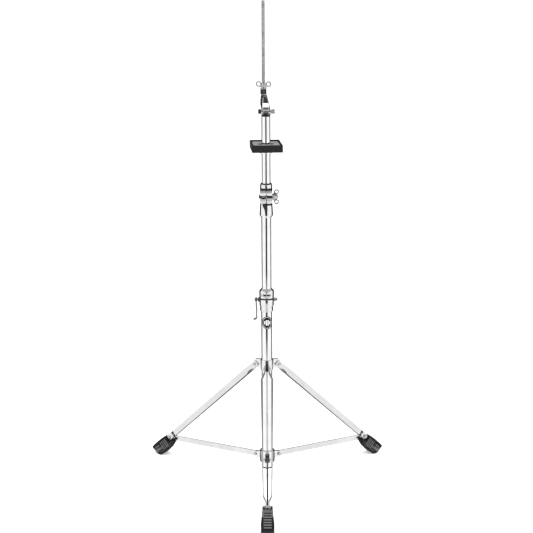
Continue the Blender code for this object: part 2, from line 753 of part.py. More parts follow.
def tilter_yoke(frame):
    """The leaning yoke on the tilter's axis, with its black block, lock nut and rod."""
    tilt = pivot("tilter_pivot", (0, 0, 0), parent=frame)
    end_r = 8.5 * MM
    outer = [
        (-11.2 * MM, -end_r - MM),
        (-11.2 * MM, 7 * MM),
        (-15.6 * MM, 28 * MM),
        (-12.8 * MM, 30 * MM),
        (-12.4 * MM, 41.4 * MM),
        (2.6 * MM, 41.4 * MM),
        (12.4 * MM, 3 * MM),
        (12.4 * MM, -end_r - MM),
        (7.6 * MM, -end_r - MM),
        (7.6 * MM, 8 * MM),
        (6.4 * MM, 20 * MM),
        (3.0 * MM, 33 * MM),
        (0.4 * MM, 36.4 * MM),
        (-4.6 * MM, 36.4 * MM),
        (-6.6 * MM, 33 * MM),
        (-7.2 * MM, 20 * MM),
        (-7.6 * MM, 8 * MM),
        (-7.6 * MM, -end_r - MM),
    ]
    yoke = add_object("tilter_yoke", plate(outer, 30 * MM, upright=True), CHROME)
    side = [*arc(0, 0, end_r, 180, 360, 12), (7.4 * MM, 20 * MM), (7.4 * MM, 42 * MM)]
    side += [(-7.4 * MM, 42 * MM), (-7.4 * MM, 20 * MM)]
    across = plate(side, 60 * MM, upright=True)
    across.transform(Matrix.Rotation(math.pi / 2, 4, "Z"))
    keep_inside(yoke, across)
    cut(
        yoke,
        cylinder(CLAMP_HOLE_R, -20 * MM, 20 * MM, "X"),
        cylinder(ROD_R + GAP, ROD_Z[0] - TILT_AXIS_Z - GAP, 50 * MM, at=(ROD_X, 0)),
    )
    attach(smooth(yoke), tilt)
    block = [
        (6.0 * MM, 20.6 * MM),
        (2.6 * MM, 32.8 * MM),
        (0.2 * MM, 36.0 * MM),
        (-4.4 * MM, 36.0 * MM),
        (-6.2 * MM, 32.8 * MM),
        (-6.8 * MM, 20.6 * MM),
    ]
    block = add_object("tilter_block", plate(block, 11 * MM, upright=True), NYLON)
    attach(block, tilt)

    rod_low, rod_high = (z - TILT_AXIS_Z for z in ROD_Z)
    rod = turned(
        "threaded_rod",
        [
            (0, rod_high),
            (ROD_R - 1.2 * MM, rod_high),
            (ROD_R, rod_high - 1.2 * MM),
            (ROD_R, rod_low),
            (0, rod_low),
        ],
        STEEL,
        closed=False,
        segments=20,
    )
    rod.location.x = ROD_X
    attach(smooth(rod), tilt)
    lock = plate(circle(0, 0, 7.5 * MM, 6), 12.5 * MM, [circle(0, 0, ROD_R + GAP, 20)])
    lock = add_object("rod_lock_nut", lock, CHROME)
    lock.location = (ROD_X, 0, 47.95 * MM)
    lock.rotation_euler.z = math.radians(30)
    attach(lock, tilt)

    lift = pivot("rod_washer_slide", (ROD_X, 0, 54.5 * MM), parent=tilt)
    washer = ring("rod_washer", ROD_R + GAP, 8 * MM, 0, 1.6 * MM, STEEL, segments=24)
    attach(smooth(washer), lift)
    turn = pivot("rod_wing_pivot", (0, 0, 1.9 * MM), (0, 0, math.radians(-24)), parent=lift)
    nut = wing_nut_mesh(6.2 * MM, 13 * MM, 20.5 * MM, 9.6 * MM, 7.4 * MM, ROD_R + GAP)
    attach(smooth(add_object("rod_wing_nut", nut, CHROME)), turn)


# ---------------------------------------------------------------- tripod

def leg_collar(stand):
    """The sliding collar with three tongues and its lock screw at the back."""
    slide = pivot("leg_collar_slide", (0, 0, 0), parent=stand)
    wall_r = 16.6 * MM
    collar = ring(
        "leg_collar", BASE_TUBE_R + 0.35 * MM, wall_r, 292.3 * MM, 319.3 * MM, CHROME, 0.8 * MM
    )
    z = COLLAR_PIVOT_Z
    tongue = [
        (15.5 * MM, z - 8 * MM),
        (PIVOT_RADIUS - 7 * MM, z - 8 * MM),
        *arc(PIVOT_RADIUS, z, 6.6 * MM, -100, 20, 8),
        (PIVOT_RADIUS + 4.5 * MM, z + 8 * MM),
        (PIVOT_RADIUS + 0.5 * MM, z + 13.6 * MM),
        (15.5 * MM, z + 15.5 * MM),
    ]
    tongue = plate(tongue, 8 * MM, upright=True)
    for azimuth in LEG_AZIMUTHS:
        join(collar, around_axis(tongue, azimuth))
    join(collar, cylinder(7 * MM, 15.2 * MM, 24 * MM, "Y", (0, COLLAR_SCREW_Z), 24))
    cut(collar, cylinder(3.7 * MM, 8 * MM, 30 * MM, "Y", (0, COLLAR_SCREW_Z)))
    attach(smooth(collar), slide)

    bearing = 24.3 * MM
    turn = pivot(
        "collar_screw_pivot", (0, bearing, COLLAR_SCREW_Z),
        (-math.pi / 2, math.pi / 2, 0), parent=slide,
    )
    stud = (3.4 * MM, bearing - BASE_TUBE_R - 0.4 * MM)
    screw = wing_nut_mesh(6.2 * MM, 11 * MM, 16 * MM, 8 * MM, 5.2 * MM, 0, stud)
    attach(smooth(add_object("collar_lock_screw", screw, CHROME)), turn)


def ease(value):
    return value * value * (3 - 2 * value)


def strip_offset(x):
    """Sideways place of a leg strip's middle, along the leg from collar pivot to foot."""
    at_collar = 5.75 * MM
    widest = 15.15 * MM
    before_foot = 10.0 * MM
    at_foot = 3.65 * MM
    flare = (8.5 * MM - LEG_LENGTH, 28 * MM - LEG_LENGTH)
    pinch = (-30 * MM, -11 * MM)
    if x <= flare[0]:
        return at_collar
    if x <= flare[1]:
        share = (x - flare[0]) / (flare[1] - flare[0])
        return at_collar + (widest - at_collar) * ease(share)
    if x <= pinch[0]:
        share = (x - flare[1]) / (pinch[0] - flare[1])
        return widest + (before_foot - widest) * share
    if x <= pinch[1]:
        share = (x - pinch[0]) / (pinch[1] - pinch[0])
        return before_foot + (at_foot - before_foot) * ease(share)
    return at_foot


def strip_mesh(side):
    """One flat strip of a leg: a bent band cut to the side view of the strip."""
    low = -LEG_LENGTH - STRIP_TOP_OVERHANG
    bends = [8.5 * MM - LEG_LENGTH + i * 3.25 * MM for i in range(7)]
    bends += [-30 * MM + i * 19 * MM / 6 for i in range(7)]
    stations = [low - MM, *bends, STRIP_IN_FOOT + MM]
    half = STRIP_THICKNESS / 2
    near = [(x, side * (strip_offset(x) - half)) for x in stations]
    far = [(x, side * (strip_offset(x) + half)) for x in reversed(stations)]
    band = add_object("strip", plate([*near, *far], 40 * MM), CHROME)
    depth = STRIP_HALF_DEPTH
    corner = 2.5 * MM
    outline = [
        (low + corner, -depth),
        (STRIP_IN_FOOT, -depth),
        (STRIP_IN_FOOT, depth),
        (low + corner, depth),
        (low, depth - corner),
        (low, corner - depth),
    ]
    holes = [circle(-LEG_LENGTH, 0, PIVOT_HOLE_R), circle(0, 0, PIVOT_HOLE_R)]
    keep_inside(band, plate(outline, 60 * MM, holes, upright=True))
    return baked(band)


def foot_mesh():
    """The rubber foot: side outline with a short flat sole, widening towards the toe."""
    def floor_depth(x):
        return (math.sin(LEG_DIP) * x - FOOT_BOLT_Z) / math.cos(LEG_DIP)

    sole_from = 49 * MM
    sole_to = 57 * MM
    outline = [
        (7.2 * MM, 8.6 * MM),
        (10.5 * MM, 10.9 * MM),
        (30 * MM, 11.4 * MM),
        (50 * MM, 11 * MM),
        TOE,
        (62.4 * MM, 8 * MM),
        (61.8 * MM, 1.5 * MM),
        (59.8 * MM, floor_depth(59.8 * MM) + 1.6 * MM),
        (sole_to, floor_depth(sole_to)),
        (sole_from, floor_depth(sole_from)),
        (42 * MM, -23.6 * MM),
        (19 * MM, -22.6 * MM),
        (5 * MM, -19 * MM),
        (-6 * MM, -14.4 * MM),
        (-7.6 * MM, -11 * MM),
    ]
    foot = add_object("foot", plate(outline, 2 * FOOT_WIDE, upright=True), RUBBER)
    for vertex in foot.data.vertices:
        share = min(max((vertex.co.x - 2 * MM) / (46 * MM), 0), 1)
        vertex.co.y *= (FOOT_NARROW + (FOOT_WIDE - FOOT_NARROW) * share) / FOOT_WIDE
    pocket = STRIP_HALF_DEPTH + 0.4 * MM
    cut(
        foot,
        box((-20 * MM, STRIP_IN_FOOT + MM), (-5.3 * MM, 5.3 * MM), (-pocket, pocket)),
        box((-20 * MM, 7.5 * MM), (-20 * MM, 20 * MM), (-pocket, pocket)),
        box((-20 * MM, 6 * MM), (-2.8 * MM, 2.8 * MM), (-30 * MM, 0)),
    )
    return baked(foot)


def collar_rivet(side):
    """A rivet of a strip's upper end, cut short of the collar tongue's face."""
    rivet = turned_bolt(
        [(2.6 * MM, 8.6 * MM, 9.3 * MM), (4.1 * MM, 7.3 * MM, 8.6 * MM),
         (PIVOT_BOLT_R, 4.6 * MM, 7.3 * MM)]
    )
    aimed(rivet, "Y", (-LEG_LENGTH, 0, 0))
    if side < 0:
        rivet.transform(Matrix.Rotation(math.pi, 4, "X"))
    return rivet


def brace_mesh():
    """A flat strip with a round eye at each end, from the hub pivot along +X."""
    outline = [
        *arc(0, 0, 7.3 * MM, 70, 290, 10),
        *arc(BRACE_LENGTH, 0, 7.3 * MM, -78, 78, 8),
    ]
    outline.insert(11, (9 * MM, -BRACE_HALF_DEPTH))
    outline.append((9 * MM, BRACE_HALF_DEPTH))
    holes = [circle(0, 0, PIVOT_HOLE_R), circle(BRACE_LENGTH, 0, PIVOT_HOLE_R)]
    return plate(outline, BRACE_THICKNESS, holes, upright=True)


def tripod(stand):
    """Three equal legs: each brace turns on the hub, and its leg turns on the brace's end."""
    strips = {side: strip_mesh(side) for side in (-1, 1)}
    rivets = {side: collar_rivet(side) for side in (-1, 1)}
    foot_bolt = pivot_bolt(5.0 * MM)
    foot = foot_mesh()
    brace = brace_mesh()
    for number, azimuth in enumerate(LEG_AZIMUTHS, start=1):
        turn = math.radians(azimuth)
        across = (math.cos(turn), math.sin(turn))
        brace_pivot = pivot(
            f"brace_{number}_pivot",
            (PIVOT_RADIUS * across[0], PIVOT_RADIUS * across[1], HUB_PIVOT_Z),
            (0, BRACE_DIP, turn),
            parent=stand,
        )
        attach(smooth(add_object(f"brace_{number}", brace.copy(), CHROME)), brace_pivot)
        leg_pivot = pivot(
            f"leg_{number}_pivot",
            (FOOT_BOLT_RADIUS * across[0], FOOT_BOLT_RADIUS * across[1], FOOT_BOLT_Z),
            (0, LEG_DIP, turn),
            parent=stand,
        )
        for side, word in ((-1, "right"), (1, "left")):
            strip = add_object(f"leg_{number}_{word}_strip", strips[side].copy(), CHROME)
            attach(smooth(strip), leg_pivot)
            rivet = add_object(f"leg_{number}_{word}_rivet", rivets[side].copy(), STEEL)
            attach(smooth(rivet), leg_pivot)
        attach(smooth(add_object(f"leg_{number}_foot", foot.copy(), RUBBER)), leg_pivot)
        bolt = add_object(f"leg_{number}_foot_bolt", foot_bolt.copy(), STEEL)
        attach(smooth(bolt), leg_pivot)


def build():
    stand = pivot("stand", (0, AXIS_Y, 0))
    base_tube(stand)
    badge(stand)
    lower_hub(stand)
    base_clamp(stand)
    clamp_lever(stand)
    mid_slide = mid_tube(stand)
    upper_slide = upper_tube(mid_slide)
    support_pad(upper_slide)
    tilter_yoke(tilter_base(upper_slide))
    leg_collar(stand)
    tripod(stand)
    bpy.context.view_layer.update()


build()
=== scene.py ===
"""Looks of the percussion stand: chrome tubes and castings, ribbed rubber feet, a rubber
pad and an M8 threaded rod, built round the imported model. Shapes are made in millimetres
round the stand's own axis, and put in the model's frame by TO_ROW.
"""
import json
import math

import bmesh
import bpy
from mathutils import Matrix, Vector


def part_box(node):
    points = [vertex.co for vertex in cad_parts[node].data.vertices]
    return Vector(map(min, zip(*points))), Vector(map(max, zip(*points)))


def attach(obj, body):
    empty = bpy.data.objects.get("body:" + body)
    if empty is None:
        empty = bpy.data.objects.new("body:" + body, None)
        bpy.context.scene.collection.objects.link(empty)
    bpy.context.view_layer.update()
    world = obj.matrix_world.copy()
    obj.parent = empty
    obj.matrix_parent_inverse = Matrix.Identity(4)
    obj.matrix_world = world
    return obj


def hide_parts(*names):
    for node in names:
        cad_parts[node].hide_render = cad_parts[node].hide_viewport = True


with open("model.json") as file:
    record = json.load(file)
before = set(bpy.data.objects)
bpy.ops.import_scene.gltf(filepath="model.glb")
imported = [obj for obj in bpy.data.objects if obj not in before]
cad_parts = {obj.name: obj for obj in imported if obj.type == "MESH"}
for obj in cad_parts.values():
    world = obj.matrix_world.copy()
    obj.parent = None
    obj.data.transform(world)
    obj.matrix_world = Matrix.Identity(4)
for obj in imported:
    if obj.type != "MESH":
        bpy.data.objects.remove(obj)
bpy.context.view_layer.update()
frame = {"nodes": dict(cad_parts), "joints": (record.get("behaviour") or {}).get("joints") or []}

TUBE_LOW, TUBE_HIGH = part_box("base_tube")
AXIS = Vector(((TUBE_LOW.x + TUBE_HIGH.x) / 2, (TUBE_LOW.y + TUBE_HIGH.y) / 2, 0))
TO_ROW = Matrix.Translation(AXIS) @ Matrix.Scale(0.001, 4)
JOINTS = {joint["name"]: joint for joint in frame["joints"]}

# How many sides turned shapes have: tubes and castings, then small bolts.
ROUND = 96
FINE = 40

# Millimetres: room round sliding tubes, and the radii of the holes for bolts.
SLIDE_GAP = 0.35
BUSH_GAP = 0.3
PIVOT_HOLE = 3.1
CROSS_HOLE = 3.3
TUBE_WALL = 1.2


def stand_box(node):
    """A CAD node's corners in millimetres, measured from the stand's axis on the floor."""
    low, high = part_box(node)
    return (low - AXIS) * 1000, (high - AXIS) * 1000


def low_z(node):
    return stand_box(node)[0].z


def high_z(node):
    return stand_box(node)[1].z


def outer_r(node):
    low, high = stand_box(node)
    return (high.x - low.x) / 2


def joint_point(name):
    """A hinge's point in millimetres from the stand's axis."""
    return (Vector(JOINTS[name]["pos_m"]) - AXIS) * 1000


# ---------------------------------------------------------------- materials

class Nodes:
    """A small helper that adds and links nodes in one material."""

    def __init__(self, name):
        self.material = bpy.data.materials.new(name)
        self.material.use_nodes = True
        self.tree = self.material.node_tree
        self.shader = self.tree.nodes["Principled BSDF"]
        self.place = self.add("ShaderNodeTexCoord").outputs["Object"]

    def add(self, kind, **values):
        node = self.tree.nodes.new(kind)
        for key, value in values.items():
            setattr(node, key, value)
        return node

    def link(self, output, socket):
        self.tree.links.new(output, socket)

    def noise(self, scale, detail=3.0, stretch=(1, 1, 1)):
        mapping = self.add("ShaderNodeMapping")
        mapping.inputs["Scale"].default_value = stretch
        self.link(self.place, mapping.inputs["Vector"])
        node = self.add("ShaderNodeTexNoise")
        node.inputs["Scale"].default_value = scale
        node.inputs["Detail"].default_value = detail
        self.link(mapping.outputs["Vector"], node.inputs["Vector"])
        return node.outputs["Fac"]

    def ramp(self, value, stops):
        node = self.add("ShaderNodeValToRGB")
        elements = node.color_ramp.elements
        while len(elements) < len(stops):
            elements.new(0.5)
        for element, (position, colour) in zip(elements, stops):
            element.position = position
            element.color = (*colour, 1)
        self.link(value, node.inputs["Fac"])
        return node.outputs["Color"]

    def spread(self, value, low, high):
        node = self.add("ShaderNodeMapRange")
        node.inputs["From Min"].default_value = 0.25
        node.inputs["From Max"].default_value = 0.75
        node.inputs["To Min"].default_value = low
        node.inputs["To Max"].default_value = high
        self.link(value, node.inputs["Value"])
        return node.outputs["Result"]

    def mix(self, factor, first, second, blend="MIX"):
        node = self.add("ShaderNodeMix", data_type="RGBA", blend_type=blend)
        for value, socket in ((factor, 0), (first, 6), (second, 7)):
            if isinstance(value, (float, tuple)):
                node.inputs[socket].default_value = value
            else:
                self.link(value, node.inputs[socket])
        return node.outputs[2]

    def bump(self, height, distance, strength, under=None):
        node = self.add("ShaderNodeBump")
        node.inputs["Distance"].default_value = distance
        node.inputs["Strength"].default_value = strength
        self.link(height, node.inputs["Height"])
        if under is not None:
            self.link(under, node.inputs["Normal"])
        self.link(node.outputs["Normal"], self.shader.inputs["Normal"])
        return node.outputs["Normal"]

    def colour(self, value):
        self.link(value, self.shader.inputs["Base Color"])

    def roughness(self, value):
        self.link(value, self.shader.inputs["Roughness"])


def chrome(name="chrome_plate", tint=(0.93, 0.93, 0.94), rough=(0.035, 0.09), cast=0.0):
    """Bright plating: faint haze and drawn streaks, and a soft waviness on castings."""
    m = Nodes(name)
    m.shader.inputs["Metallic"].default_value = 1.0
    haze = m.noise(28, 4)
    streak = m.noise(160, 2, (1, 1, 0.06))
    dull = tuple(c * 0.86 for c in tint)
    m.colour(m.mix(m.spread(haze, 0.0, 1.0), (*tint, 1), (*dull, 1)))
    m.roughness(m.spread(streak, *rough))
    fine = m.bump(streak, 0.00002, 0.25)
    if cast:
        m.bump(m.noise(90, 2), 0.0003, cast, fine)
    return m.material


def plated_steel(name, tint, rough=(0.16, 0.34)):
    m = Nodes(name)
    m.shader.inputs["Metallic"].default_value = 1.0
    cloud = m.noise(120, 4)
    m.colour(m.ramp(cloud, [(0.3, tuple(c * 0.7 for c in tint)), (0.7, tint)]))
    m.roughness(m.spread(m.noise(260, 3), *rough))
    m.bump(cloud, 0.00005, 0.3)
    return m.material


def rubber(name, dark, pale, rough=(0.5, 0.75), grain=900, depth=0.00012):
    """Moulded rubber: fine grain and scuffs along raised edges."""
    m = Nodes(name)
    cloud = m.noise(45, 5)
    body = m.ramp(cloud, [(0.35, dark), (0.75, pale)])
    edge = m.add("ShaderNodeNewGeometry").outputs["Pointiness"]
    worn = m.ramp(edge, [(0.515, (0, 0, 0)), (0.56, (1, 1, 1))])
    scuff = tuple(min(1.0, c * 2.2 + 0.02) for c in pale)
    m.colour(m.mix(m.mix(0.35, (0, 0, 0, 1), worn), body, (*scuff, 1)))
    m.roughness(m.spread(m.noise(300, 3), *rough))
    m.shader.inputs["Specular IOR Level"].default_value = 0.08
    m.bump(m.noise(grain, 3), depth, 0.5)
    return m.material


def enamel(name, low, high):
    m = Nodes(name)
    m.colour(m.ramp(m.noise(60, 3), [(0.3, (low,) * 3), (0.7, (high,) * 3)]))
    m.roughness(m.spread(m.noise(200, 3), 0.25, 0.4))
    m.shader.inputs["Specular IOR Level"].default_value = 0.3
    m.bump(m.noise(500, 2), 0.00003, 0.2)
    return m.material


CHROME = chrome()
CAST_CHROME = chrome("cast_chrome", (0.84, 0.84, 0.85), (0.05, 0.13), 0.25)
STRIP_CHROME = chrome("strip_chrome", (0.76, 0.76, 0.77), (0.06, 0.16), 0.12)
WING_CHROME = chrome("wing_chrome", (0.5, 0.5, 0.51), (0.12, 0.22), 0.3)
STEEL = plated_steel("zinc_plate", (0.66, 0.66, 0.68))
ROD_STEEL = plated_steel("rod_steel", (0.7, 0.7, 0.71), (0.2, 0.36))
# Dark steel for the real black pins and screws, also painted as shade on the hub's and collar's
# plate edges and on the front brace's top.
DARK_STEEL_AND_PAINTED_SHADE = plated_steel("black_oxide_and_painted_shade", (0.06, 0.06, 0.065), (0.25, 0.42))
SHADED_STEEL = plated_steel("shaded_plate", (0.12, 0.12, 0.125), (0.2, 0.35))
FOOT_RUBBER = rubber("foot_rubber", (0.002, 0.002, 0.0025), (0.006, 0.006, 0.0065))
TRAY_RUBBER = rubber("tray_rubber", (0.003, 0.003, 0.0035), (0.008, 0.008, 0.009), (0.42, 0.62))
MAT_RUBBER = rubber("mat_rubber", (0.15, 0.15, 0.155), (0.24, 0.24, 0.245), (0.6, 0.8), 1400)
# Black nylon for the real nylon parts; the same colour is also painted as shade inside the upper
# clamp's slits and window.
NYLON_AND_PAINTED_SHADE = rubber("black_nylon", (0.01, 0.01, 0.011), (0.02, 0.02, 0.021), (0.3, 0.45), 600, 0.00006)
# Paler rubber painted on the ribs' outer faces as a painted highlight.
RIB_PAINTED_HIGHLIGHT = rubber("rib_painted_highlight", (0.05, 0.05, 0.053), (0.1, 0.1, 0.105), (0.45, 0.65))
ENAMEL = enamel("badge_enamel", 0.004, 0.01)
WHITE_PAINT = enamel("badge_paint", 0.75, 0.85)


# ---------------------------------------------------------------- mesh helpers

def link(item):
    bpy.context.scene.collection.objects.link(item)


def mesh_of(work):
    """Finish work as a mesh with its faces turned outward."""
    bmesh.ops.recalc_face_normals(work, faces=work.faces)
    mesh = bpy.data.meshes.new("shape")
    work.to_mesh(mesh)
    work.free()
    return mesh


def lathe(profile, segments=ROUND, closed=False):
    """Turn (radius, height) points about Z. An open profile starts and ends on the axis."""
    work = bmesh.new()
    rings = []
    for radius, height in profile:
        if radius < 1e-6:
            rings.append([work.verts.new((0, 0, height))])
            continue
        ring = []
        for i in range(segments):
            angle = math.tau * i / segments
            x, y = radius * math.cos(angle), radius * math.sin(angle)
            ring.append(work.verts.new((x, y, height)))
        rings.append(ring)
    pairs = list(zip(rings, rings[1:]))
    if closed:
        pairs.append((rings[-1], rings[0]))
    for upper, lower in pairs:
        for i in range(segments):
            j = (i + 1) % segments
            corners = [upper[i % len(upper)], upper[j % len(upper)]]
            corners += [lower[j % len(lower)], lower[i % len(lower)]]
            corners = list(dict.fromkeys(corners))
            if len(corners) > 2:
                work.faces.new(corners)
    return mesh_of(work)


def softened(profile, radius, closed=False):
    """Round a profile's corners with short arcs, except at points on the axis."""
    count = len(profile)
    result = []
    for i, point in enumerate(profile):
        here = Vector(point)
        inner = closed or 0 < i < count - 1
        if not inner or point[0] < 1e-6:
            result.append(point)
            continue
        before = Vector(profile[i - 1]) - here
        after = Vector(profile[(i + 1) % count]) - here
        reach = min(radius, before.length * 0.45, after.length * 0.45)
        first = here + before.normalized() * reach
        last = here + after.normalized() * reach
        for step in range(4):
            share = step / 3
            blend = first * (1 - share) ** 2 + here * 2 * share * (1 - share) + last * share ** 2
            result.append(tuple(blend))
    return result


def tube(inner, outer, low, high, edge=0.4, segments=ROUND):
    profile = [(outer, high), (outer, low), (inner, low), (inner, high)]
    return lathe(softened(profile, edge, True), segments, True)


def rod(radius, low, high, edge=0.4, segments=FINE):
    return lathe(softened([(0, high), (radius, high), (radius, low), (0, low)], edge), segments)


def block(x, y, z):
    work = bmesh.new()
    bmesh.ops.create_cube(work, size=1)
    for vertex in work.verts:
        for axis, (low, high) in enumerate((x, y, z)):
            vertex.co[axis] = low if vertex.co[axis] < 0 else high
    return mesh_of(work)


def at(*place):
    return Matrix.Translation(place)


def outward(mesh):
    """A copy with its faces turned outward, for a mesh that was mirrored."""
    work = bmesh.new()
    work.from_mesh(mesh)
    return mesh_of(work)


def moved(mesh, matrix):
    mesh.transform(matrix)
    return mesh


def facing(mesh, direction, offset=(0, 0, 0)):
    """Turn a mesh built along +Z to run along +X or +Y, then move it."""
    turn = {
        "X": Matrix.Rotation(math.pi / 2, 4, "Y"),
        "Y": Matrix.Rotation(-math.pi / 2, 4, "X"),
        "Z": Matrix.Identity(4),
    }[direction]
    return moved(mesh, Matrix.Translation(offset) @ turn)


def arc(x, y, radius, start, end, count):
    points = []
    for i in range(count + 1):
        angle = math.radians(start + (end - start) * i / count)
        points.append((x + radius * math.cos(angle), y + radius * math.sin(angle)))
    return points


def circle(x, y, radius, count=32):
    return arc(x, y, radius, 0, 360 - 360 / count, count - 1)


def plate(outline, thickness, holes=(), upright=False, rounding=0.0):
    """A filled outline with thickness centred on its plane, XY or upright in XZ."""
    curve = bpy.data.curves.new("outline", "CURVE")
    curve.dimensions = "2D"
    curve.fill_mode = "BOTH"
    curve.extrude = thickness / 2 - rounding
    curve.bevel_depth = rounding
    curve.offset = -rounding
    curve.bevel_resolution = 1
    for loop in (outline, *holes):
        spline = curve.splines.new("POLY")
        spline.points.add(len(loop) - 1)
        for point, (x, y) in zip(spline.points, loop):
            point.co = (x, y, 0, 1)
        spline.use_cyclic_u = True
    mesh = baked(bpy.data.objects.new("outline", curve))
    work = bmesh.new()
    work.from_mesh(mesh)
    bmesh.ops.remove_doubles(work, verts=work.verts, dist=1e-4)
    mesh = mesh_of(work)
    if upright:
        mesh.transform(Matrix.Rotation(math.pi / 2, 4, "X"))
    return mesh


def baked(shape, tools=()):
    """The evaluated mesh of a scratch object, which is removed with its tools."""
    link(shape)
    bpy.context.view_layer.update()
    graph = bpy.context.evaluated_depsgraph_get()
    mesh = bpy.data.meshes.new_from_object(shape.evaluated_get(graph))
    for item in (shape, *tools):
        bpy.data.objects.remove(item)
    return mesh


def built(mesh, add=(), cut=(), common=(), bevel=0.0):
    """Combine a mesh with others by exact Booleans, then round the edges."""
    shape = bpy.data.objects.new("shape", mesh)
    tools = []
    for operation, meshes in (("UNION", add), ("INTERSECT", common), ("DIFFERENCE", cut)):
        for other in meshes:
            tool = bpy.data.objects.new("tool", other)
            link(tool)
            tools.append(tool)
            step = shape.modifiers.new("step", "BOOLEAN")
            step.operation = operation
            step.solver = "EXACT"
            step.object = tool
    if bevel:
        rounding = shape.modifiers.new("rounding", "BEVEL")
        rounding.width = bevel
        rounding.segments = 2
        rounding.limit_method = "ANGLE"
        rounding.angle_limit = math.radians(40)
        rounding.use_clamp_overlap = True
    return baked(shape, tools)


def around(mesh, azimuth):
    return moved(mesh.copy(), Matrix.Rotation(math.radians(azimuth), 4, "Z"))


def show(name, mesh, body, material, slot, *nodes, matrix=TO_ROW, sharp=35, second=None):
    """Put a finished mesh in the scene as a piece that rides on a body.

    second is another material and a test of a face, in the mesh's own millimetres.
    """
    mesh = mesh.copy()
    mesh.materials.clear()
    mesh.materials.append(material)
    if second:
        mesh.materials.append(second[0])
    for face in mesh.polygons:
        face.material_index = 1 if second and second[1](face) else 0
    mesh.transform(matrix)
    mesh.shade_smooth()
    mesh.set_sharp_from_angle(angle=math.radians(sharp))
    piece = bpy.data.objects.new(name, mesh)
    link(piece)
    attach(piece, body)
    if nodes:
        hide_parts(*nodes)
    return piece


def keep(node, material):
    """A CAD node whose shape is right gets a better material."""
    mesh = frame["nodes"][node].data
    mesh.materials.clear()
    mesh.materials.append(material)
    mesh.shade_smooth()
    mesh.set_sharp_from_angle(angle=math.radians(35))


# ---------------------------------------------------------------- tubes and plug

def tubes():
    """The three tubes, and the ribbed plug in the lowest one's end."""
    rows = (("base_tube", "base"), ("mid_tube", "mid_tube"), ("upper_tube", "upper_tube"))
    for node, body in rows:
        radius = outer_r(node)
        mesh = tube(radius - TUBE_WALL, radius, low_z(node), high_z(node), 0.35)
        show(f"{node}_chrome", mesh, body, CHROME, "chrome", node)
    radius = outer_r("base_tube")
    low, high = low_z("base_tube_plug"), high_z("base_tube_plug")
    step = low_z("base_tube") - 0.3
    ribs = []
    count = 4
    for i in range(count):
        top = high - 2 - i * (high - step - 4) / count
        ribs += [(radius - 1.6, top), (radius - 2.4, top - 1.6)]
    profile = [(0, high), (radius - 2.6, high), *ribs, (radius - 1.6, step)]
    profile += [(radius, step), (radius, low + 1), (radius - 1.2, low), (0, low)]
    mesh = lathe(softened(profile, 0.5))
    show("base_tube_plug_ribbed", mesh, "base", NYLON_AND_PAINTED_SHADE, "nylon", "base_tube_plug")


def badge():
    """A black disc wrapped on the tube, with a white ring and a plain mark of four bars."""
    low, high = stand_box("badge_plate")
    middle = (low.z + high.z) / 2
    half = (high.z - low.z) / 2
    squeeze = 12.9 / half
    radius = outer_r("base_tube") + 0.3
    turn = Matrix.Rotation(math.radians(5), 4, "Z")

    def wrapped(inner, outer, *outlines):
        shell = tube(inner, outer, middle - 20, middle + 20, 0.05, 160)
        shapes = []
        for outline, holes in outlines:
            shape = plate(outline, 20, holes, upright=True)
            shapes.append(moved(shape, at(0, -12, middle)))
        first, *others = shapes
        return moved(built(shell, common=[built(first, add=others)], bevel=0.08), turn)

    def oval(size, count=72):
        return [(x * squeeze, y) for x, y in circle(0, 0, size, count)]

    plate_mesh = wrapped(radius, radius + 0.5, (oval(half), ()))
    show("badge_disc", plate_mesh, "base", ENAMEL, "badge", "badge_plate")
    rim = wrapped(radius + 0.52, radius + 0.62, (oval(half - 2.2), (oval(half - 3),)))
    show("badge_rim", rim, "base", WHITE_PAINT, "badge")
    for number, (x, height) in enumerate(((-6.3, 4), (-2.1, 7), (2.1, 7), (6.3, 4)), start=1):
        corners = [(x - 1.4, -height), (x + 1.4, -height), (x + 1.4, height), (x - 1.4, height)]
        mark = wrapped(radius + 0.52, radius + 0.62, (corners, ()))
        show(f"badge_mark_{number}", mark, "base", WHITE_PAINT, "badge")


# ---------------------------------------------------------------- fasteners

def hexagon(across_flats):
    return circle(0, 0, across_flats / math.sqrt(3), 6)


def hex_head(across_flats, low, high, bore=0.0):
    """A hexagonal head or nut along Z with its corners chamfered by a turned cone."""
    holes = [circle(0, 0, bore)] if bore else []
    body = plate(hexagon(across_flats), high - low, holes)
    moved(body, at(0, 0, (low + high) / 2))
    corner = across_flats / math.sqrt(3)
    flat = across_flats / 2
    rise = (corner - flat) * 0.6
    cone = [(0, high), (flat * 0.96, high), (corner + 0.2, high - rise)]
    cone += [(corner + 0.2, low + rise), (flat * 0.96, low), (0, low)]
    return built(body, common=[lathe(cone, 48)])


def pivot_bolt_mesh(half_grip):
    """A domed bolt along Y with a hexagonal lock nut, as separate shapes joined."""
    face = half_grip + 0.3
    head = face + 2.8
    nut = -face - 3.4
    cap = [(0, head), (1.6, head - 0.1), (3.3, head - 0.8), (4.2, face + 0.8), (4.2, face)]
    shank = [(2.9, face), (2.9, nut - 0.6), (2.5, nut - 0.8), (0, nut - 0.8)]
    bolt = lathe([*cap, *shank], FINE)
    collar = rod(4.5, -face - 0.9, -face + 0.02, 0.2)
    bolt = built(bolt, add=[hex_head(8.3, nut, -face - 0.5), collar])
    return facing(bolt, "Y")


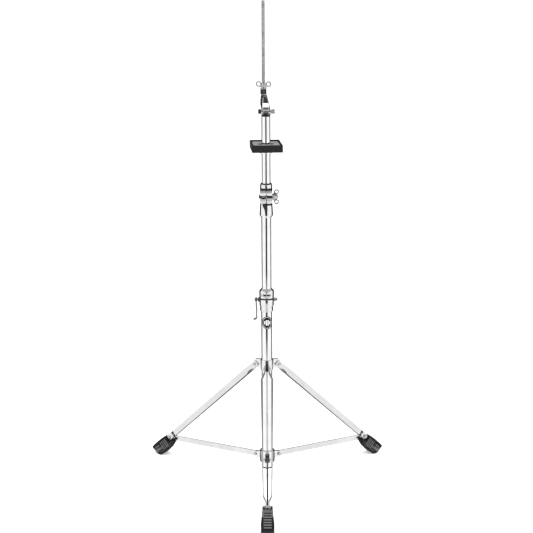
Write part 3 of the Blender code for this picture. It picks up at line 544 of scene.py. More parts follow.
def wing_nut_mesh(hub_r, length, span, lobe_z, lobe_r, bore=0.0, stud=None):
    """A looped wing nut along +Z, or a wing screw with a stud that ends in a flat tip."""
    top = (hub_r * 0.72, length)
    side = [top, (hub_r * 0.9, length * 0.5), (hub_r, length * 0.28), (hub_r, 0)]
    if stud is None:
        hub = [*side, (bore + 0.5, 0), (bore, 0.5), (bore, length - 0.5), (bore + 0.5, length)]
        hub = lathe(softened(hub, 0.4, True), 64, True)
    else:
        stem = [(stud[0], 0), (stud[0], -stud[1]), (0, -stud[1])]
        hub = lathe(softened([(0, length), *side, *stem], 0.4), 64)
    wings = []
    lobe_x = span - lobe_r
    root = hub_r - 1.4
    for sign in (-1, 1):
        outline = [(root, 1.2), *arc(lobe_x, lobe_z, lobe_r, -75, 125, 22), (root, length * 0.86)]
        hole = circle(lobe_x, lobe_z, lobe_r * 0.5, 24)
        wing = plate(outline, 3.4, [hole], True, 0.8)
        wings.append(wing if sign > 0 else moved(wing, Matrix.Rotation(math.pi, 4, "Z")))
    return built(hub, add=wings, bevel=0.35)


def thread(radius, pitch, low, high, name, matrix, body, segments=24, steps=6):
    """A rod with a real helical thread, fading out at both ends, as one closed mesh."""
    depth = pitch * 0.55
    work = bmesh.new()
    count = int((high - low) / pitch * steps)
    rings = []
    for row in range(count + 1):
        height = low + (high - low) * row / count
        fade = min(1.0, (height - low) / (2 * pitch), (high - height) / (2 * pitch))
        ring = []
        for i in range(segments):
            turn = i / segments
            phase = (height / pitch - turn) % 1
            groove = 1 - abs(2 * phase - 1)
            groove = min(max(groove * 1.25 - 0.1, 0), 1)
            end = 1 - 0.25 * (1 - fade)
            r = (radius - depth * (groove * fade)) * end
            angle = math.tau * turn
            ring.append(work.verts.new((r * math.cos(angle), r * math.sin(angle), height)))
        rings.append(ring)
    for lower, upper in zip(rings, rings[1:]):
        for i in range(segments):
            j = (i + 1) % segments
            work.faces.new((lower[i], lower[j], upper[j], upper[i]))
    work.faces.new(rings[0][::-1])
    work.faces.new(rings[-1])
    return show(name, mesh_of(work), body, ROD_STEEL, "plated_steel", matrix=matrix, sharp=60)


# ---------------------------------------------------------------- hub and leg collar

def spoke_edge(azimuths, beyond, gap):
    """A test for the narrow faces and the gaps of plates that stand out at these azimuths, where
    dark steel is painted as shade.
    """
    def test(face):
        x, y, _ = face.center
        for azimuth in azimuths:
            turn = math.radians(azimuth)
            along = x * math.cos(turn) + y * math.sin(turn)
            aside = y * math.cos(turn) - x * math.sin(turn)
            if along > beyond and abs(aside) < 8:
                sideways = face.normal.y * math.cos(turn) - face.normal.x * math.sin(turn)
                return abs(sideways) < 0.6 or abs(aside) < gap
        return False

    return test


def hub_and_collar():
    """The lower hub with its clevises and bolts, and the sliding leg collar with its screw."""
    pivot_z = joint_point("brace_1_turn").z
    pivot_r = Vector(joint_point("brace_1_turn")[:2]).length
    azimuths = []
    for number in (1, 2, 3):
        point = joint_point(f"brace_{number}_turn")
        azimuths.append(math.degrees(math.atan2(point.y, point.x)))
    radius = outer_r("base_tube")

    low, high = low_z("lower_hub"), high_z("lower_hub")
    profile = [(19.5, high), (19.5, low), (radius + 0.3, low), (radius + 0.3, high)]
    ring = lathe(softened(profile, 2.0, True), ROUND, True)
    outline = [(16.4, pivot_z - 9), (pivot_r - 7, pivot_z - 9)]
    outline += arc(pivot_r, pivot_z, 7.2, -110, 110, 28)
    outline += [(pivot_r - 9, pivot_z + 9.5), (16.4, pivot_z + 12)]
    ears = []
    for azimuth in azimuths:
        for side in (-1, 1):
            ear = plate(outline, 3, [circle(pivot_r, pivot_z, PIVOT_HOLE)], True)
            moved(ear, at(0, side * 3.9, 0))
            ears.append(around(ear, azimuth))
    mesh = built(ring, add=ears, bevel=0.5)
    # Painted shade: the clevis ears' narrow faces and the gaps between the ears are painted dark
    # steel.
    edges = (DARK_STEEL_AND_PAINTED_SHADE, spoke_edge(azimuths, 20, 2.6))
    show("lower_hub_cast", mesh, "base", CAST_CHROME, "chrome", "lower_hub", second=edges)
    bolt = pivot_bolt_mesh(5.4)
    moved(bolt, at(pivot_r, 0, pivot_z))
    for number, azimuth in enumerate(azimuths, start=1):
        node = f"hub_pivot_bolt_{number}"
        show(f"{node}_detail", around(bolt, azimuth), "base", STEEL, "plated_steel", node)

    rivet_low, rivet_high = stand_box("leg_1_left_rivet")
    z = (rivet_low.z + rivet_high.z) / 2
    low, high = low_z("leg_collar"), high_z("leg_collar")
    bore = radius + SLIDE_GAP
    profile = [(16.6, high), (16.6, low), (bore, low), (bore, high)]
    ring = lathe(softened(profile, 0.8, True), ROUND, True)
    outline = [(15.6, z - 8), (pivot_r - 7, z - 8), *arc(pivot_r, z, 6.6, -100, 20, 20)]
    outline += [(pivot_r + 4.5, z + 8), (pivot_r + 0.5, z + 13.6), (15.6, z + 15.5)]
    tongues = [around(plate(outline, 8, upright=True), azimuth) for azimuth in azimuths]
    screw_z = joint_point("collar_screw_turn").z
    tongues.append(facing(rod(7, 15.3, 24, 0.8, 48), "Y", (0, 0, screw_z)))
    mouth = facing(rod(3.7, 8, 30, 0.2), "Y", (0, 0, screw_z))
    mesh = built(ring, add=tongues, cut=[mouth], bevel=0.6)
    # Painted shade: the tongues' narrow faces are painted dark steel.
    edges = (DARK_STEEL_AND_PAINTED_SHADE, spoke_edge(azimuths, 17.2, 0))
    show("leg_collar_cast", mesh, "leg_collar", CAST_CHROME, "chrome", "leg_collar", second=edges)

    bearing = joint_point("collar_screw_turn")
    screw = wing_nut_mesh(6.2, 11, 16, 8, 5.2, stud=(3.2, bearing.y - radius - 0.5))
    turn = Matrix.Rotation(-math.pi / 2, 4, "X") @ Matrix.Rotation(math.pi / 2, 4, "Z")
    moved(screw, Matrix.Translation(bearing) @ turn)
    show("collar_screw_cast", screw, "collar_screw", CAST_CHROME, "chrome", "collar_lock_screw")


# ---------------------------------------------------------------- base clamp and memory lock

def base_clamp():
    """The quick-release clamp on the base tube: casting, bush, bolt, nut, seat and lever."""
    pivot = joint_point("clamp_lever_swing")
    y, z = pivot.y, pivot.z
    low, high = low_z("base_clamp"), high_z("base_clamp")
    seat = high_z("base_tube") + 0.3
    bore = outer_r("base_tube") + SLIDE_GAP
    profile = [(0, high), (18.6, high), (18.6, seat - 1.7), (17.1, seat - 2.9)]
    profile += [(17.1, low + 2.1), (15.6, low), (0, low)]
    body = lathe(softened(profile, 0.8))
    lug = block((-17.5, 17.5), (10, 27.5), (high - 16.4, high - 0.4))
    cuts = [rod(bore, low - 5, seat + 5, 0.05, ROUND), rod(15.95, seat, high + 9, 0.05, ROUND)]
    cuts.append(block((-0.8, 0.8), (12, 32), (low - 5, high + 8)))
    cuts.append(facing(rod(CROSS_HOLE, -30, 30, 0.1), "X", (0, y, z)))
    mesh = built(body, add=[lug], cut=cuts, bevel=0.6)
    show("base_clamp_cast", mesh, "base", CAST_CHROME, "chrome", "base_clamp")

    inner = outer_r("mid_tube") + BUSH_GAP
    top = high_z("base_clamp_bush")
    profile = [(17.8, top), (17.8, high + 0.3), (15.6, high + 0.3), (15.6, seat + 0.3)]
    profile += [(inner, seat + 0.3), (inner, top)]
    mesh = lathe(softened(profile, 0.5, True), ROUND, True)
    show("base_clamp_bush_moulded", mesh, "base", NYLON_AND_PAINTED_SHADE, "nylon", "base_clamp_bush")

    low_x = stand_box("base_clamp_bolt")[0].x
    high_x = stand_box("base_clamp_bolt")[1].x
    shank = facing(rod(3, low_x, high_x, 0.7), "X", (0, y, z))
    eye = facing(rod(2.1, y - 6, y + 6, 0.1), "Y", (pivot.x, 0, z))
    mesh = built(shank, cut=[eye], bevel=0.2)
    show("base_clamp_bolt_detail", mesh, "base", STEEL, "plated_steel", "base_clamp_bolt")
    nut_low, nut_high = stand_box("base_clamp_nut")
    nut = hex_head(9.0, nut_low.x, nut_high.x, 3.2)
    mesh = facing(nut, "X", (0, y, z))
    show("base_clamp_nut_hex", mesh, "base", STEEL, "chrome", "base_clamp_nut")
    seat_low, seat_high = stand_box("lever_cam_seat")
    profile = [(6.5, seat_high.x), (6.5, seat_low.x), (3.3, seat_low.x), (3.3, seat_high.x)]
    mesh = facing(lathe(softened(profile, 0.8, True), 48, True), "X", (0, y, z))
    show("lever_cam_seat_moulded", mesh, "base", NYLON_AND_PAINTED_SHADE, "nylon", "lever_cam_seat")

    arm = [(2.4, -2), (3.0, -12), (3.4, -28), (2.8, -42), *arc(-4.2, -45.5, 7.6, 0, -110, 14)]
    arm += [(-8.0, -51.6), *arc(-4.4, -46.0, 3.0, -110, 0, 10), (-1.8, -43), (-1.4, -28)]
    arm += [(-2.0, -12), (-2.4, -2)]
    head = facing(rod(4.6, -5.5, 5.5, 0.5, 48), "Y")
    slot_cut = block((-8, 8), (-3.4, 3.4), (-4.3, 8))
    cuts = [slot_cut, facing(rod(2.1, -8, 8, 0.1), "Y")]
    mesh = built(head, add=[plate(arm, 9.8, upright=True, rounding=0.5)], cut=cuts, bevel=0.4)
    moved(mesh, Matrix.Translation(pivot))
    show("clamp_lever_cast", mesh, "clamp_lever", WING_CHROME, "chrome", "clamp_lever")
    pin = moved(facing(rod(1.8, -5.5, 5.5, 0.4), "Y"), Matrix.Translation(pivot))
    node = "clamp_lever_pin"
    show(f"{node}_detail", pin, "clamp_lever", DARK_STEEL_AND_PAINTED_SHADE, "plated_steel", node)


def memory_lock():
    """The split ring above the base clamp, with its key bolt."""
    low, high = low_z("memory_lock"), high_z("memory_lock")
    bolt_low, bolt_high = stand_box("memory_lock_bolt")
    y, z = (bolt_low.y + bolt_high.y) / 2, (bolt_low.z + bolt_high.z) / 2
    bore = outer_r("mid_tube") + SLIDE_GAP
    profile = [(0, high), (13.8, high), (18.6, high - 4.4), (19, high - 5.4)]
    profile += [(19, low + 0.8), (18.2, low), (0, low)]
    body = lathe(softened(profile, 0.7))
    ears = built(
        block((-7.5, 7.5), (-26, -12), (low + 3.5, low + 17)),
        common=[facing(rod(14.5, -12, 12, 0.1, ROUND), "X", (0, -11, z - 0.7))],
    )
    cuts = [rod(bore, low - 6, high + 6, 0.05, ROUND)]
    cuts.append(block((-0.9, 0.9), (-30, -11), (low - 6, high + 6)))
    cuts.append(facing(rod(2.8, -20, 20, 0.1), "X", (0, y, z)))
    mesh = built(body, add=[ears], cut=cuts, bevel=0.6)
    show("memory_lock_cast", mesh, "mid_tube", CAST_CHROME, "chrome", "memory_lock")
    shank = rod(2.5, -7.8, 11, 0.5)
    flange = rod(4.2, -9.4, -7.8, 0.4)
    key = block((-2.1, 2.1), (-2.1, 2.1), (-13.4, -9.2))
    mesh = facing(built(shank, add=[flange, key], bevel=0.25), "X", (0, y, z))
    show("memory_lock_key_bolt", mesh, "mid_tube", STEEL, "plated_steel", "memory_lock_bolt")


def upper_clamp():
    """The casting on the middle tube with its slits painted black as shade, bush, bolt and wing
    nut.
    """
    wing = joint_point("upper_clamp_wing_turn")
    y, z = wing.y, wing.z
    low, high = low_z("upper_clamp"), high_z("upper_clamp")
    bore = outer_r("mid_tube") + SLIDE_GAP
    r = 15.4
    profile = [(0, high), (r - 1.4, high), (r, high - 1.4), (r, z - 18.5), (17, z - 42)]
    profile += [(17, z - 49.5), (14, low), (0, low)]
    body = lathe(softened(profile, 1.0))
    boss = built(
        block((-14.6, 14.6), (-25, -9), (z - 16, z + 14)),
        common=[facing(rod(26, -20, 20, 0.1, ROUND), "X", (0, 1.5, z - 2))],
    )
    outside, inside = -32, 13.9
    core = rod(inside, low - 10, high + 10, 0.1, ROUND)
    wedge = [(-9.8, -17.9), (-8.5, -25), (-4.5, -32.5), (-2.7, -41), (-1.4, -47.8), (1.6, -47.8)]
    wedge += [(2, -38), (3, -26), (0.4, -22.6), (0.4, -17.9)]
    wedge = moved(plate(wedge, 30, upright=True), at(0, -17, z))
    slits = [
        block((-20, 20), (outside, -1.5), (z + 14.8, z + 19.6)),
        block((0, 20), (outside, -1.5), (z - 23, z - 18.4)),
        wedge,
    ]
    cuts = [built(slit, cut=[core.copy()]) for slit in slits]
    cuts.append(rod(bore, low - 6, high + 6, 0.05, ROUND))
    cuts.append(block((0, 1.6), (outside, -15.9), (z - 17, z + 14)))
    cuts.append(block((-11, -2), (outside, -21), (z - 5.4, z + 2.8)))
    cuts.append(facing(rod(CROSS_HOLE, -30, 30, 0.1), "X", (0, y, z)))
    mesh = built(body, add=[boss], cut=cuts, bevel=0.4)

    # Painted shade: faces inside the shallow slits and the window get the black nylon colour.
    def in_slit(face):
        x, y, height = face.center
        up = height - z
        shallow = 13.5 < math.hypot(x, y) < 15.1 and -49 < up < 20.5 and y < -1
        window = -11.2 < x < -1.8 and -23.4 < y < -18 and -5.6 < up < 3
        return shallow or window or (abs(face.normal.x) > 0.7 and 0 < x < 1.7 and y < -15)

    slits = (NYLON_AND_PAINTED_SHADE, in_slit)
    show("upper_clamp_cast", mesh, "mid_tube", CAST_CHROME, "chrome", "upper_clamp", second=slits)

    inner = outer_r("upper_tube") + BUSH_GAP
    top, bottom = high_z("upper_clamp_bush"), low_z("upper_clamp_bush")
    fit = bore - SLIDE_GAP
    profile = [(13.9, top), (13.9, high + 0.3), (fit, high + 0.3), (fit, bottom)]
    profile += [(inner, bottom), (inner, top)]
    mesh = lathe(softened(profile, 0.4, True), ROUND, True)
    show("upper_clamp_bush_moulded", mesh, "mid_tube", NYLON_AND_PAINTED_SHADE, "nylon", "upper_clamp_bush")
    bolt_low, bolt_high = stand_box("upper_clamp_bolt")
    shank = rod(3, bolt_low.x + 3, bolt_high.x, 0.7)
    head = hex_head(9.0, bolt_low.x, bolt_low.x + 3.5)
    mesh = facing(built(shank, add=[head]), "X", (0, y, z))
    show("upper_clamp_bolt_detail", mesh, "mid_tube", STEEL, "plated_steel", "upper_clamp_bolt")
    nut = wing_nut_mesh(7.2, 13, 18.5, 10.5, 6.2, 3.2)
    moved(nut, Matrix.Translation(wing) @ Matrix.Rotation(math.pi / 2, 4, "Y"))
    body = "upper_clamp_wing"
    show(f"{body}_cast", nut, body, WING_CHROME, "chrome", f"{body}_nut")


# ---------------------------------------------------------------- pad

def pad():
    """The tray, its mat and the collar they turn on. The pad sits slightly askew."""
    swivel = joint_point("pad_swivel")
    yaw = math.radians(4)
    width, depth, height = 74, 114, 18
    rim, recess = 4, 5.8
    seat = TO_ROW @ Matrix.Translation(swivel) @ Matrix.Rotation(yaw, 4, "Z")

    def slot(reach, radius, thick):
        right = arc(reach, 0, radius, -90, 90, 24)
        left = arc(-reach, 0, radius, 90, 270, 24)
        return plate(right + left, thick)

    inner_x, inner_y = width / 2 - rim, depth / 2 - rim
    body = block((-width / 2, width / 2), (-depth / 2, depth / 2), (0, height))
    pocket = block((-inner_x, inner_x), (-inner_y, inner_y), (height - recess, height + 5))
    mesh = built(body, cut=[pocket, slot(9.3, 11.7, 90)], bevel=1.1)
    show("pad_tray_moulded", mesh, "pad", TRAY_RUBBER, "rubber", "pad_tray", matrix=seat)
    bottom = height - recess + 0.3
    clear = 0.4
    half_x, half_y = inner_x - clear, inner_y - clear
    sheet = block((-half_x, half_x), (-half_y, half_y), (bottom, bottom + 1.4))
    ribs = []
    pitch = 4.2
    count = int((inner_y - 2) / pitch)
    for i in range(-count, count + 1):
        y = i * pitch
        ribs.append(block((2 - inner_x, inner_x - 2), (y - 0.8, y + 0.8), (bottom + 1, bottom + 2)))
    mesh = built(sheet, add=ribs, cut=[slot(9.3, 11.9, 90)], bevel=0.2)
    edges = (TRAY_RUBBER, lambda face: abs(face.normal.z) < 0.5 and face.center.z < bottom + 1.2)
    show("pad_mat_ribbed", mesh, "pad", MAT_RUBBER, "mat", "pad_mat", matrix=seat, second=edges)

    low, high = low_z("pad_collar"), high_z("pad_collar")
    radius = outer_r("pad_collar")
    bore = outer_r("upper_tube") + SLIDE_GAP
    middle = (low + high) / 2
    profile = [(radius, high), (radius, low), (bore, low), (bore, high)]
    ring = lathe(softened(profile, 0.8, True), ROUND, True)
    cuts = [facing(rod(2.3, 8, 20, 0.1), "Y", (0, 0, middle))]
    cuts.append(block((-20, -8), (-0.7, 0.7), (low - 2, high + 2)))
    mesh = built(ring, cut=cuts, bevel=0.3)
    show("pad_collar_turned", mesh, "pad_collar", CHROME, "chrome", "pad_collar")
    keep("pad_collar_screw", DARK_STEEL_AND_PAINTED_SHADE)


# ---------------------------------------------------------------- tilter and rod

def tilter():
    """The tilter on the upper tube: base, yoke, block and bolt, then the rod and its nuts."""
    axis = joint_point("tilt")
    up = Matrix.Translation(axis)
    radius = outer_r("upper_tube")
    tube_top = high_z("upper_tube") - axis.z
    plug_r = radius - 1.5
    profile = [(0, -9), (radius - 0.6, -9), (radius, -9.6), (radius, tube_top + 0.3)]
    profile += [(plug_r, tube_top + 0.3), (plug_r, tube_top - 28), (0, tube_top - 28)]
    plug = lathe(softened(profile, 0.4))
    dome = [(9.2, -10), *arc(0, 0, 10.3, -12, 192, 48), (-9.2, -10)]
    tongue = plate(dome, 14.4, [circle(0, 0, 3.2)], True)
    moved(tongue, Matrix.Rotation(math.pi / 2, 4, "Z"))
    teeth = []
    for i in range(28):
        notch = block((6.6, 8), (7.4, 11), (-0.28, 0.28))
        for sign in (-1, 1):
            turn = Matrix.Rotation(math.radians(i * 180 / 27), 4, "X")
            mirror = Matrix.Diagonal((sign, 1, 1, 1))
            teeth.append(outward(moved(notch.copy(), mirror @ turn)))
    mesh = moved(built(plug, add=[tongue], bevel=0.35), up)
    mesh = built(mesh, cut=[moved(notch, up) for notch in teeth])
    skirt = (NYLON_AND_PAINTED_SHADE, lambda face: -12 < face.center.z - axis.z < -6)
    node = "tilter_base"
    show(f"{node}_cast", mesh, "upper_tube", WING_CHROME, "chrome", node, second=skirt)

    bolt_low, bolt_high = stand_box("tilter_bolt")
    mesh = facing(rod(3, bolt_low.x, bolt_high.x, 0.7), "X", (0, 0, axis.z))
    show("tilter_bolt_detail", mesh, "upper_tube", STEEL, "plated_steel", "tilter_bolt")
    profile = [(3.3, -11.6), (5.8, -11.6), (5.8, -17), (4.4, -18.8), (0, -18.8)]
    profile += [(0, -16.3), (3.3, -16.3)]
    cap = lathe(softened(profile, 0.7), 48)
    work = bmesh.new()
    work.from_mesh(cap)
    mouth = [e for e in work.edges if e.is_boundary]
    bmesh.ops.bridge_loops(work, edges=mouth)
    cap = mesh_of(work)
    cap = facing(cap, "X", (0, 0, axis.z))
    show("tilter_end_cap_moulded", cap, "upper_tube", NYLON_AND_PAINTED_SHADE, "nylon", "tilter_end_cap")
    wing = joint_point("tilter_wing_turn")
    nut = wing_nut_mesh(5.2, 7.5, 14, 5.2, 4.2, 3.2)
    turn = Matrix.Rotation(math.pi / 2, 4, "Y") @ Matrix.Rotation(math.radians(-78), 4, "Z")
    moved(nut, Matrix.Translation(wing) @ turn)
    show("tilter_wing_cast", nut, "tilter_wing", WING_CHROME, "chrome", "tilter_wing_nut")

    end_r = 8.5
    below = -end_r - 1
    outer = [(-11.2, below), (-11.2, 7), (-15.6, 28), (-12.8, 30), (-12.4, 41.4), (2.6, 41.4)]
    outer += [(12.4, 3), (12.4, below), (7.6, below), (7.6, 8), (6.4, 20), (3.0, 33), (0.4, 36.4)]
    outer += [(-4.6, 36.4), (-6.6, 33), (-7.2, 20), (-7.6, 8), (-7.6, below)]
    front = plate(outer, 30, upright=True)
    side = [*arc(0, 0, end_r, 180, 360, 36), (7.4, 20), (7.4, 42), (-7.4, 42), (-7.4, 20)]
    side = moved(plate(side, 60, upright=True), Matrix.Rotation(math.pi / 2, 4, "Z"))
    rod_point = joint_point("rod_wing_turn")
    rod_x = rod_point.x
    cuts = [facing(rod(3.2, -20, 20, 0.1), "X")]
    cuts.append(moved(rod(4.3, 38, 50, 0.1), at(rod_x, 0, 0)))
    mesh = moved(built(front, common=[side], cut=cuts, bevel=0.7), up)
    show("tilter_yoke_cast", mesh, "tilter", CAST_CHROME, "chrome", "tilter_yoke")
    wedge = [(6.0, 20.6), (2.6, 32.8), (0.2, 36.0), (-4.4, 36.0), (-6.2, 32.8), (-6.8, 20.6)]
    mesh = moved(built(plate(wedge, 11, upright=True), bevel=0.8), up)
    show("tilter_block_moulded", mesh, "tilter", NYLON_AND_PAINTED_SHADE, "nylon", "tilter_block")

    low, high = low_z("threaded_rod"), high_z("threaded_rod")
    shift = TO_ROW @ at(rod_x, 0, 0)
    rod_piece = thread(4, 1.25, low, high, "threaded_rod_m8", shift, "tilter")
    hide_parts("threaded_rod")
    low, high = low_z("rod_lock_nut"), high_z("rod_lock_nut")
    nut = hex_head(13, low, high, 4.2)
    moved(nut, Matrix.Rotation(math.radians(8), 4, "Z"))
    show("rod_lock_nut_hex", nut, "tilter", CAST_CHROME, "chrome", "rod_lock_nut", matrix=shift)
    low, high = low_z("rod_washer"), high_z("rod_washer")
    mesh = tube(4.3, 8, low, high, 0.3, 64)
    show("rod_washer_turned", mesh, "rod_washer", STEEL, "plated_steel", "rod_washer", matrix=shift)
    nut = wing_nut_mesh(6.2, 13, 20.5, 9.6, 7.4, 4.3)
    turn = Matrix.Rotation(math.radians(-24), 4, "Z")
    moved(nut, Matrix.Translation(rod_point) @ turn)
    show("rod_wing_cast", nut, "rod_wing", WING_CHROME, "chrome", "rod_wing_nut")


# ---------------------------------------------------------------- legs

def ease(value):
    """A smooth step from 0 to 1."""
    return value * value * (3 - 2 * value)


def strip_offset(x, length):
    """Sideways place of a strip's middle, from the collar pivot at -length to the foot."""
    near, widest, before_foot, at_foot = 5.75, 15.15, 10.0, 3.65
    flare = (8.5 - length, 33 - length)
    pinch = (-30, -11)
    if x <= flare[0]:
        return near
    if x <= flare[1]:
        share = (x - flare[0]) / (flare[1] - flare[0])
        return near + (widest - near) * (0.8 * share + 0.2 * ease(share))
    if x <= pinch[0]:
        return widest + (before_foot - widest) * (x - flare[1]) / (pinch[0] - flare[1])
    if x <= pinch[1]:
        return before_foot + (at_foot - before_foot) * ease((x - pinch[0]) / (pinch[1] - pinch[0]))
    return at_foot


def strip_mesh(side, length):
    """One flat strip of a leg, bent near the collar and again where it meets the foot."""
    low = -length - 8.4
    end = 41
    bends = [8.5 - length + i * 24.5 / 14 for i in range(15)]
    bends += [-30 + i * 19 / 14 for i in range(15)]
    stations = [low - 1, *bends, end + 1]
    near = [(x, side * (strip_offset(x, length) - 1.25)) for x in stations]
    far = [(x, side * (strip_offset(x, length) + 1.25)) for x in reversed(stations)]
    outline = [*arc(low + 5, -2.5, 5, 180, 270, 8), (end, -7.5), (end, 7.5)]
    outline += arc(low + 5, 2.5, 5, 90, 180, 8)
    holes = [circle(-length, 0, PIVOT_HOLE), circle(0, 0, PIVOT_HOLE)]
    return built(plate([*near, *far], 40), common=[plate(outline, 60, holes, True)], bevel=0.45)


# Half widths of a foot in millimetres, at its toe and at its heel.
FOOT_WIDE = 15.8
FOOT_NARROW = 12.3


def foot_half_width(x):
    """Half width of a foot at a place along the leg, from the heel at 2 to the toe at 48."""
    return FOOT_NARROW + (FOOT_WIDE - FOOT_NARROW) * min(max((x - 2) / 46, 0), 1)


def foot_mesh(dip, height):
    """A rubber boot with a toothed sole, ribs moulded on its top and sides, a leg socket."""
    def floor_depth(x):
        return (math.sin(dip) * x - height) / math.cos(dip)

    teeth = []
    for i in range(3):
        x = 57 - i * 8 / 3
        teeth += [(x, floor_depth(x)), (x - 1.7, floor_depth(x - 1.7))]
        if i < 2:
            teeth += [(x - 1.8, floor_depth(x - 1.8) + 1.2), (x - 2.5, floor_depth(x - 2.5) + 1.2)]
    toe = [(60.5, 10.2), (62.4, 8), (61.9, 3.4), (60.7, 3.0), (61.2, -1.4), (60.1, -1.9)]
    toe += [(60.5, -6), (59.4, -6.5), (59.9, floor_depth(59.8) + 2.2)]
    outline = [(7.2, 8.6), (10.5, 10.9), (30, 11.4), (50, 11), *toe, *teeth]
    outline += [(42, -23.6), (19, -22.6), (5, -19), (-6, -14.4), (-7.6, -11)]
    body = built(plate(outline, 2 * FOOT_WIDE, upright=True), bevel=1.9)
    for vertex in body.vertices:
        x, z = vertex.co.x, vertex.co.z
        narrowed = max(0, (x - 56) * 0.5) + (max(0, (12 - x) * 0.55) if z > 5 else 0)
        vertex.co.y *= (foot_half_width(x) - narrowed) / FOOT_WIDE
    pocket = 7.9
    cuts = [block((-20, 42), (-5.3, 5.3), (-pocket, pocket))]
    cuts.append(block((-20, 7.5), (-20, 20), (-pocket, pocket)))
    cuts.append(block((-20, 6), (-2.8, 2.8), (-30, 0)))
    cuts.append(block((13.5, 58), (-9.2, 9.2), (10.1, 20)))
    for side in (-1, 1):
        for span, depth, reach in (((8.5, 33.5), 13.4, (-17, 4.6)), ((36.5, 53), 14.6, (-13, 5.5))):
            inner, outer = sorted((side * depth, side * 24))
            cuts.append(block(span, (inner, outer), reach))
    ribs = []
    for i in range(7):
        x = 16.4 + 6.5 * i
        ribs.append(block((x - 1.7, x + 1.7), (-9.4, 9.4), (9.5, 11.3)))
    for side in (-1, 1):
        for x in (12, 18, 24, 30):
            inner, outer = sorted((side * 11, side * (foot_half_width(x) - 0.1)))
            ribs.append(block((x - 1.5, x + 1.5), (inner, outer), (-17.2, 4.8)))
        for z in (0.6, -7.6):
            inner, outer = sorted((side * 11, side * 15.7))
            ribs.append(block((36.3, 53.2), (inner, outer), (z - 1.7, z + 1.7)))
    return built(built(body, cut=cuts), add=ribs, bevel=0.3)


def is_rib(face):
    """True for the outer faces of a foot's ribs, which get a paler painted highlight."""
    x, y, z = face.center
    on_top = face.normal.z > 0.6 and 13.6 < x < 57.9 and abs(y) < 9.3 and z > 10.9
    across = any(abs(x - middle) < 1.4 for middle in (12, 18, 24, 30)) and -17.3 < z < 4.9
    along = 36.2 < x < 53.3 and any(abs(z - middle) < 1.6 for middle in (0.6, -7.6))
    return on_top or (abs(face.normal.y) > 0.8 and abs(y) > 11.5 and (across or along))


def rivet_mesh(side, length):
    """A domed rivet on the outside of a strip, cut short of the collar's tongue."""
    profile = [(0, 9.3), (1.8, 9.15), (3.2, 8.6), (4.0, 7.8), (4.1, 7.3)]
    profile += [(2.9, 7.3), (2.9, 4.6), (0, 4.6)]
    mesh = facing(lathe(profile, FINE), "Y", (-length, 0, 0))
    return mesh if side > 0 else moved(mesh, Matrix.Rotation(math.pi, 4, "X"))


def brace_mesh(length):
    """A flat brace with round ends, along +X from the hub's pivot to the foot's."""
    outline = [*arc(0, 0, 7.3, 70, 290, 28), (9, -7.3), *arc(length, 0, 7.3, -78, 78, 24), (9, 7.3)]
    holes = [circle(0, 0, PIVOT_HOLE), circle(length, 0, PIVOT_HOLE)]
    return plate(outline, 4, holes, True, 0.2)


def tripod():
    """Three legs of two strips, each with a foot, bolt and rivets, and their braces."""
    rivet_low, rivet_high = stand_box("leg_1_left_rivet")
    collar_z = (rivet_low.z + rivet_high.z) / 2
    bolt = joint_point("leg_1_turn")
    hub = joint_point("brace_1_turn")
    reach = Vector(bolt[:2]).length - Vector(hub[:2]).length
    length = math.hypot(reach, collar_z - bolt.z)
    dip = math.atan2(collar_z - bolt.z, reach)
    brace_length = math.hypot(reach, hub.z - bolt.z)
    brace_dip = math.atan2(hub.z - bolt.z, reach)
    strips = {side: strip_mesh(side, length) for side in (-1, 1)}
    rivets = {side: rivet_mesh(side, length) for side in (-1, 1)}
    foot = foot_mesh(dip, bolt.z)
    brace = brace_mesh(brace_length)
    foot_bolt = pivot_bolt_mesh(5.0)
    front = min((1, 2, 3), key=lambda number: joint_point(f"leg_{number}_turn").y)
    for number in (1, 2, 3):
        body = f"leg_{number}"
        point = joint_point(f"leg_{number}_turn")
        spin = Matrix.Rotation(math.atan2(point.y, point.x), 4, "Z")
        place = TO_ROW @ Matrix.Translation(point) @ spin @ Matrix.Rotation(dip, 4, "Y")
        for side, word in ((-1, "right"), (1, "left")):
            node = f"leg_{number}_{word}_strip"
            inner = (SHADED_STEEL, lambda face: face.normal.y * side < -0.6)
            put = {"matrix": place, "second": inner}
            show(f"{node}_plated", strips[side], body, STRIP_CHROME, "chrome", node, **put)
            node = f"leg_{number}_{word}_rivet"
            show(f"{node}_domed", rivets[side], body, STEEL, "plated_steel", node, matrix=place)
        node = f"leg_{number}_foot"
        # Painted highlight: the ribs' outer faces get the paler rubber.
        ribs = (RIB_PAINTED_HIGHLIGHT, is_rib)
        put = {"matrix": place, "second": ribs, "sharp": 50}
        show(f"{node}_ribbed", foot, body, FOOT_RUBBER, "rubber", node, **put)
        node = f"leg_{number}_foot_bolt"
        show(f"{node}_detail", foot_bolt, body, STEEL, "plated_steel", node, matrix=place)
        node = f"brace_{number}"
        point = joint_point(f"brace_{number}_turn")
        place = TO_ROW @ Matrix.Translation(point) @ spin @ Matrix.Rotation(brace_dip, 4, "Y")
        # Painted shade: the front brace's top face alone is painted dark steel.
        top = (DARK_STEEL_AND_PAINTED_SHADE, lambda face: face.normal.z > 0.9) if number == front else None
        put = {"matrix": place, "second": top}
        show(f"{node}_plated", brace, node, STRIP_CHROME, "chrome", node, **put)


# ---------------------------------------------------------------- stage, light, camera

def plain(name, colour, rough):
    """A matt stage surface that glows a little, so that it comes out near white."""
    m = Nodes(name)
    pale = tuple(c * 0.985 for c in colour)
    m.colour(m.ramp(m.noise(3, 3), [(0.3, pale), (0.7, colour)]))
    m.shader.inputs["Roughness"].default_value = rough
    m.shader.inputs["Emission Color"].default_value = (1, 1, 1, 1)
    m.shader.inputs["Emission Strength"].default_value = 0.3
    return m.material


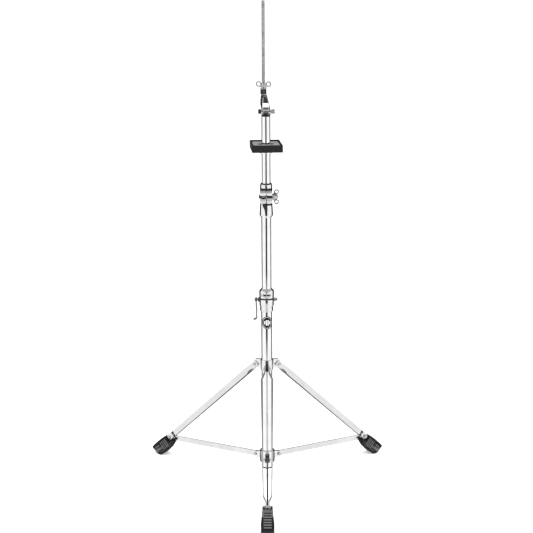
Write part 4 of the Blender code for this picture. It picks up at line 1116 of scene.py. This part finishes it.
def unseen(item):
    """Stage an object that only reflections see."""
    link(item)
    item.visible_camera = False
    item.visible_shadow = False
    item.visible_diffuse = False


def glowing(name):
    """A material that only glows, and the socket of its colour."""
    m = Nodes(name)
    m.tree.nodes.remove(m.shader)
    glow = m.add("ShaderNodeEmission")
    m.link(glow.outputs[0], m.tree.nodes["Material Output"].inputs["Surface"])
    return m, glow.inputs["Color"]


# Metres: how far the flags stand from the stand, and the heights between which they fade.
FLAG_RADIUS = 5
FLAG_FADE = (-0.9, -0.45)


def flag(name, azimuth, spread, shade, low_shade, low=-5, high=4):
    """A tall curved dark card that only reflections see. low_shade is its shade below."""
    m, colour = glowing(name)
    height = m.add("ShaderNodeSeparateXYZ")
    m.link(m.place, height.inputs[0])
    share = m.add("ShaderNodeMapRange")
    share.inputs["From Min"].default_value, share.inputs["From Max"].default_value = FLAG_FADE
    m.link(height.outputs["Z"], share.inputs["Value"])
    m.link(m.ramp(share.outputs[0], [(0, (low_shade,) * 3), (1, (shade,) * 3)]), colour)
    work = bmesh.new()
    columns = []
    steps = 16
    for step in range(steps + 1):
        angle = math.radians(azimuth - spread / 2 + spread * step / steps)
        x, y = FLAG_RADIUS * math.cos(angle), FLAG_RADIUS * math.sin(angle)
        columns.append([work.verts.new((x, y, z)) for z in (low, high)])
    for left, right in zip(columns, columns[1:]):
        work.faces.new((left[0], right[0], right[1], left[1]))
    item = bpy.data.objects.new(name, mesh_of(work))
    item.data.materials.append(m.material)
    item.location = AXIS
    unseen(item)


def stage():
    """The pale floor, the cards and veil that chrome reflects, and the lights."""
    floor_mesh = plate([(-14, -14), (14, -14), (14, 14), (-14, 14)], 0.002)
    floor = bpy.data.objects.new("floor", floor_mesh)
    floor_mesh.materials.append(plain("studio_floor", (0.95, 0.95, 0.95), 0.8))
    floor.location = (0, 0, -0.0011)
    floor.visible_glossy = False
    link(floor)
    flag("front_flag", -90, 36, 0.04, 0.7, -5, 2.2)
    flag("rear_flag_right", 39, 56, 0.03, 0.1)
    flag("rear_flag_left", 141, 56, 0.03, 0.1)
    flag("rear_top_flag", 90, 120, 0.04, 0.04, 1.2, 5)

    veil_mesh = plate(circle(0, 0, 3, 48), 0.002)
    m, colour = glowing("zenith_veil")
    colour.default_value = (0.5, 0.5, 0.5, 1)
    veil_mesh.materials.append(m.material)
    veil = bpy.data.objects.new("zenith_veil", veil_mesh)
    veil.location = AXIS + Vector((0, -0.5, 3.8))
    unseen(veil)

    world = bpy.data.worlds.new("studio")
    bpy.context.scene.world = world
    world.use_nodes = True
    background = world.node_tree.nodes["Background"]
    background.inputs["Color"].default_value = (1, 1, 1, 1)
    background.inputs["Strength"].default_value = 1.12
    lamp = bpy.data.lights.new("overhead_softbox", "AREA")
    lamp.shape = "RECTANGLE"
    lamp.size = 3
    lamp.size_y = 3
    lamp.energy = 60
    light = bpy.data.objects.new("overhead_softbox", lamp)
    light.location = (0, -0.6, 3.4)
    light.visible_glossy = False
    link(light)
    bpy.context.scene.view_settings.view_transform = "Standard"


def camera():
    """A long lens in front of the stand, looking down, and rolled a little as in the photo."""
    down, roll_angle = 13.04, -0.25
    data = bpy.data.cameras.new("camera")
    data.lens = 80.46
    data.sensor_width = 36
    view = bpy.data.objects.new("camera", data)
    view.location = AXIS + Vector((0, -2.9002, 1.2321))
    tilt = Matrix.Rotation(math.radians(90 - down), 3, "X")
    roll = Matrix.Rotation(math.radians(roll_angle), 3, "Z")
    view.rotation_euler = (tilt @ roll).to_euler()
    link(view)
    bpy.context.scene.camera = view


tubes()
badge()
hub_and_collar()
base_clamp()
memory_lock()
upper_clamp()
pad()
tilter()
tripod()
stage()
camera()
bpy.context.view_layer.update()
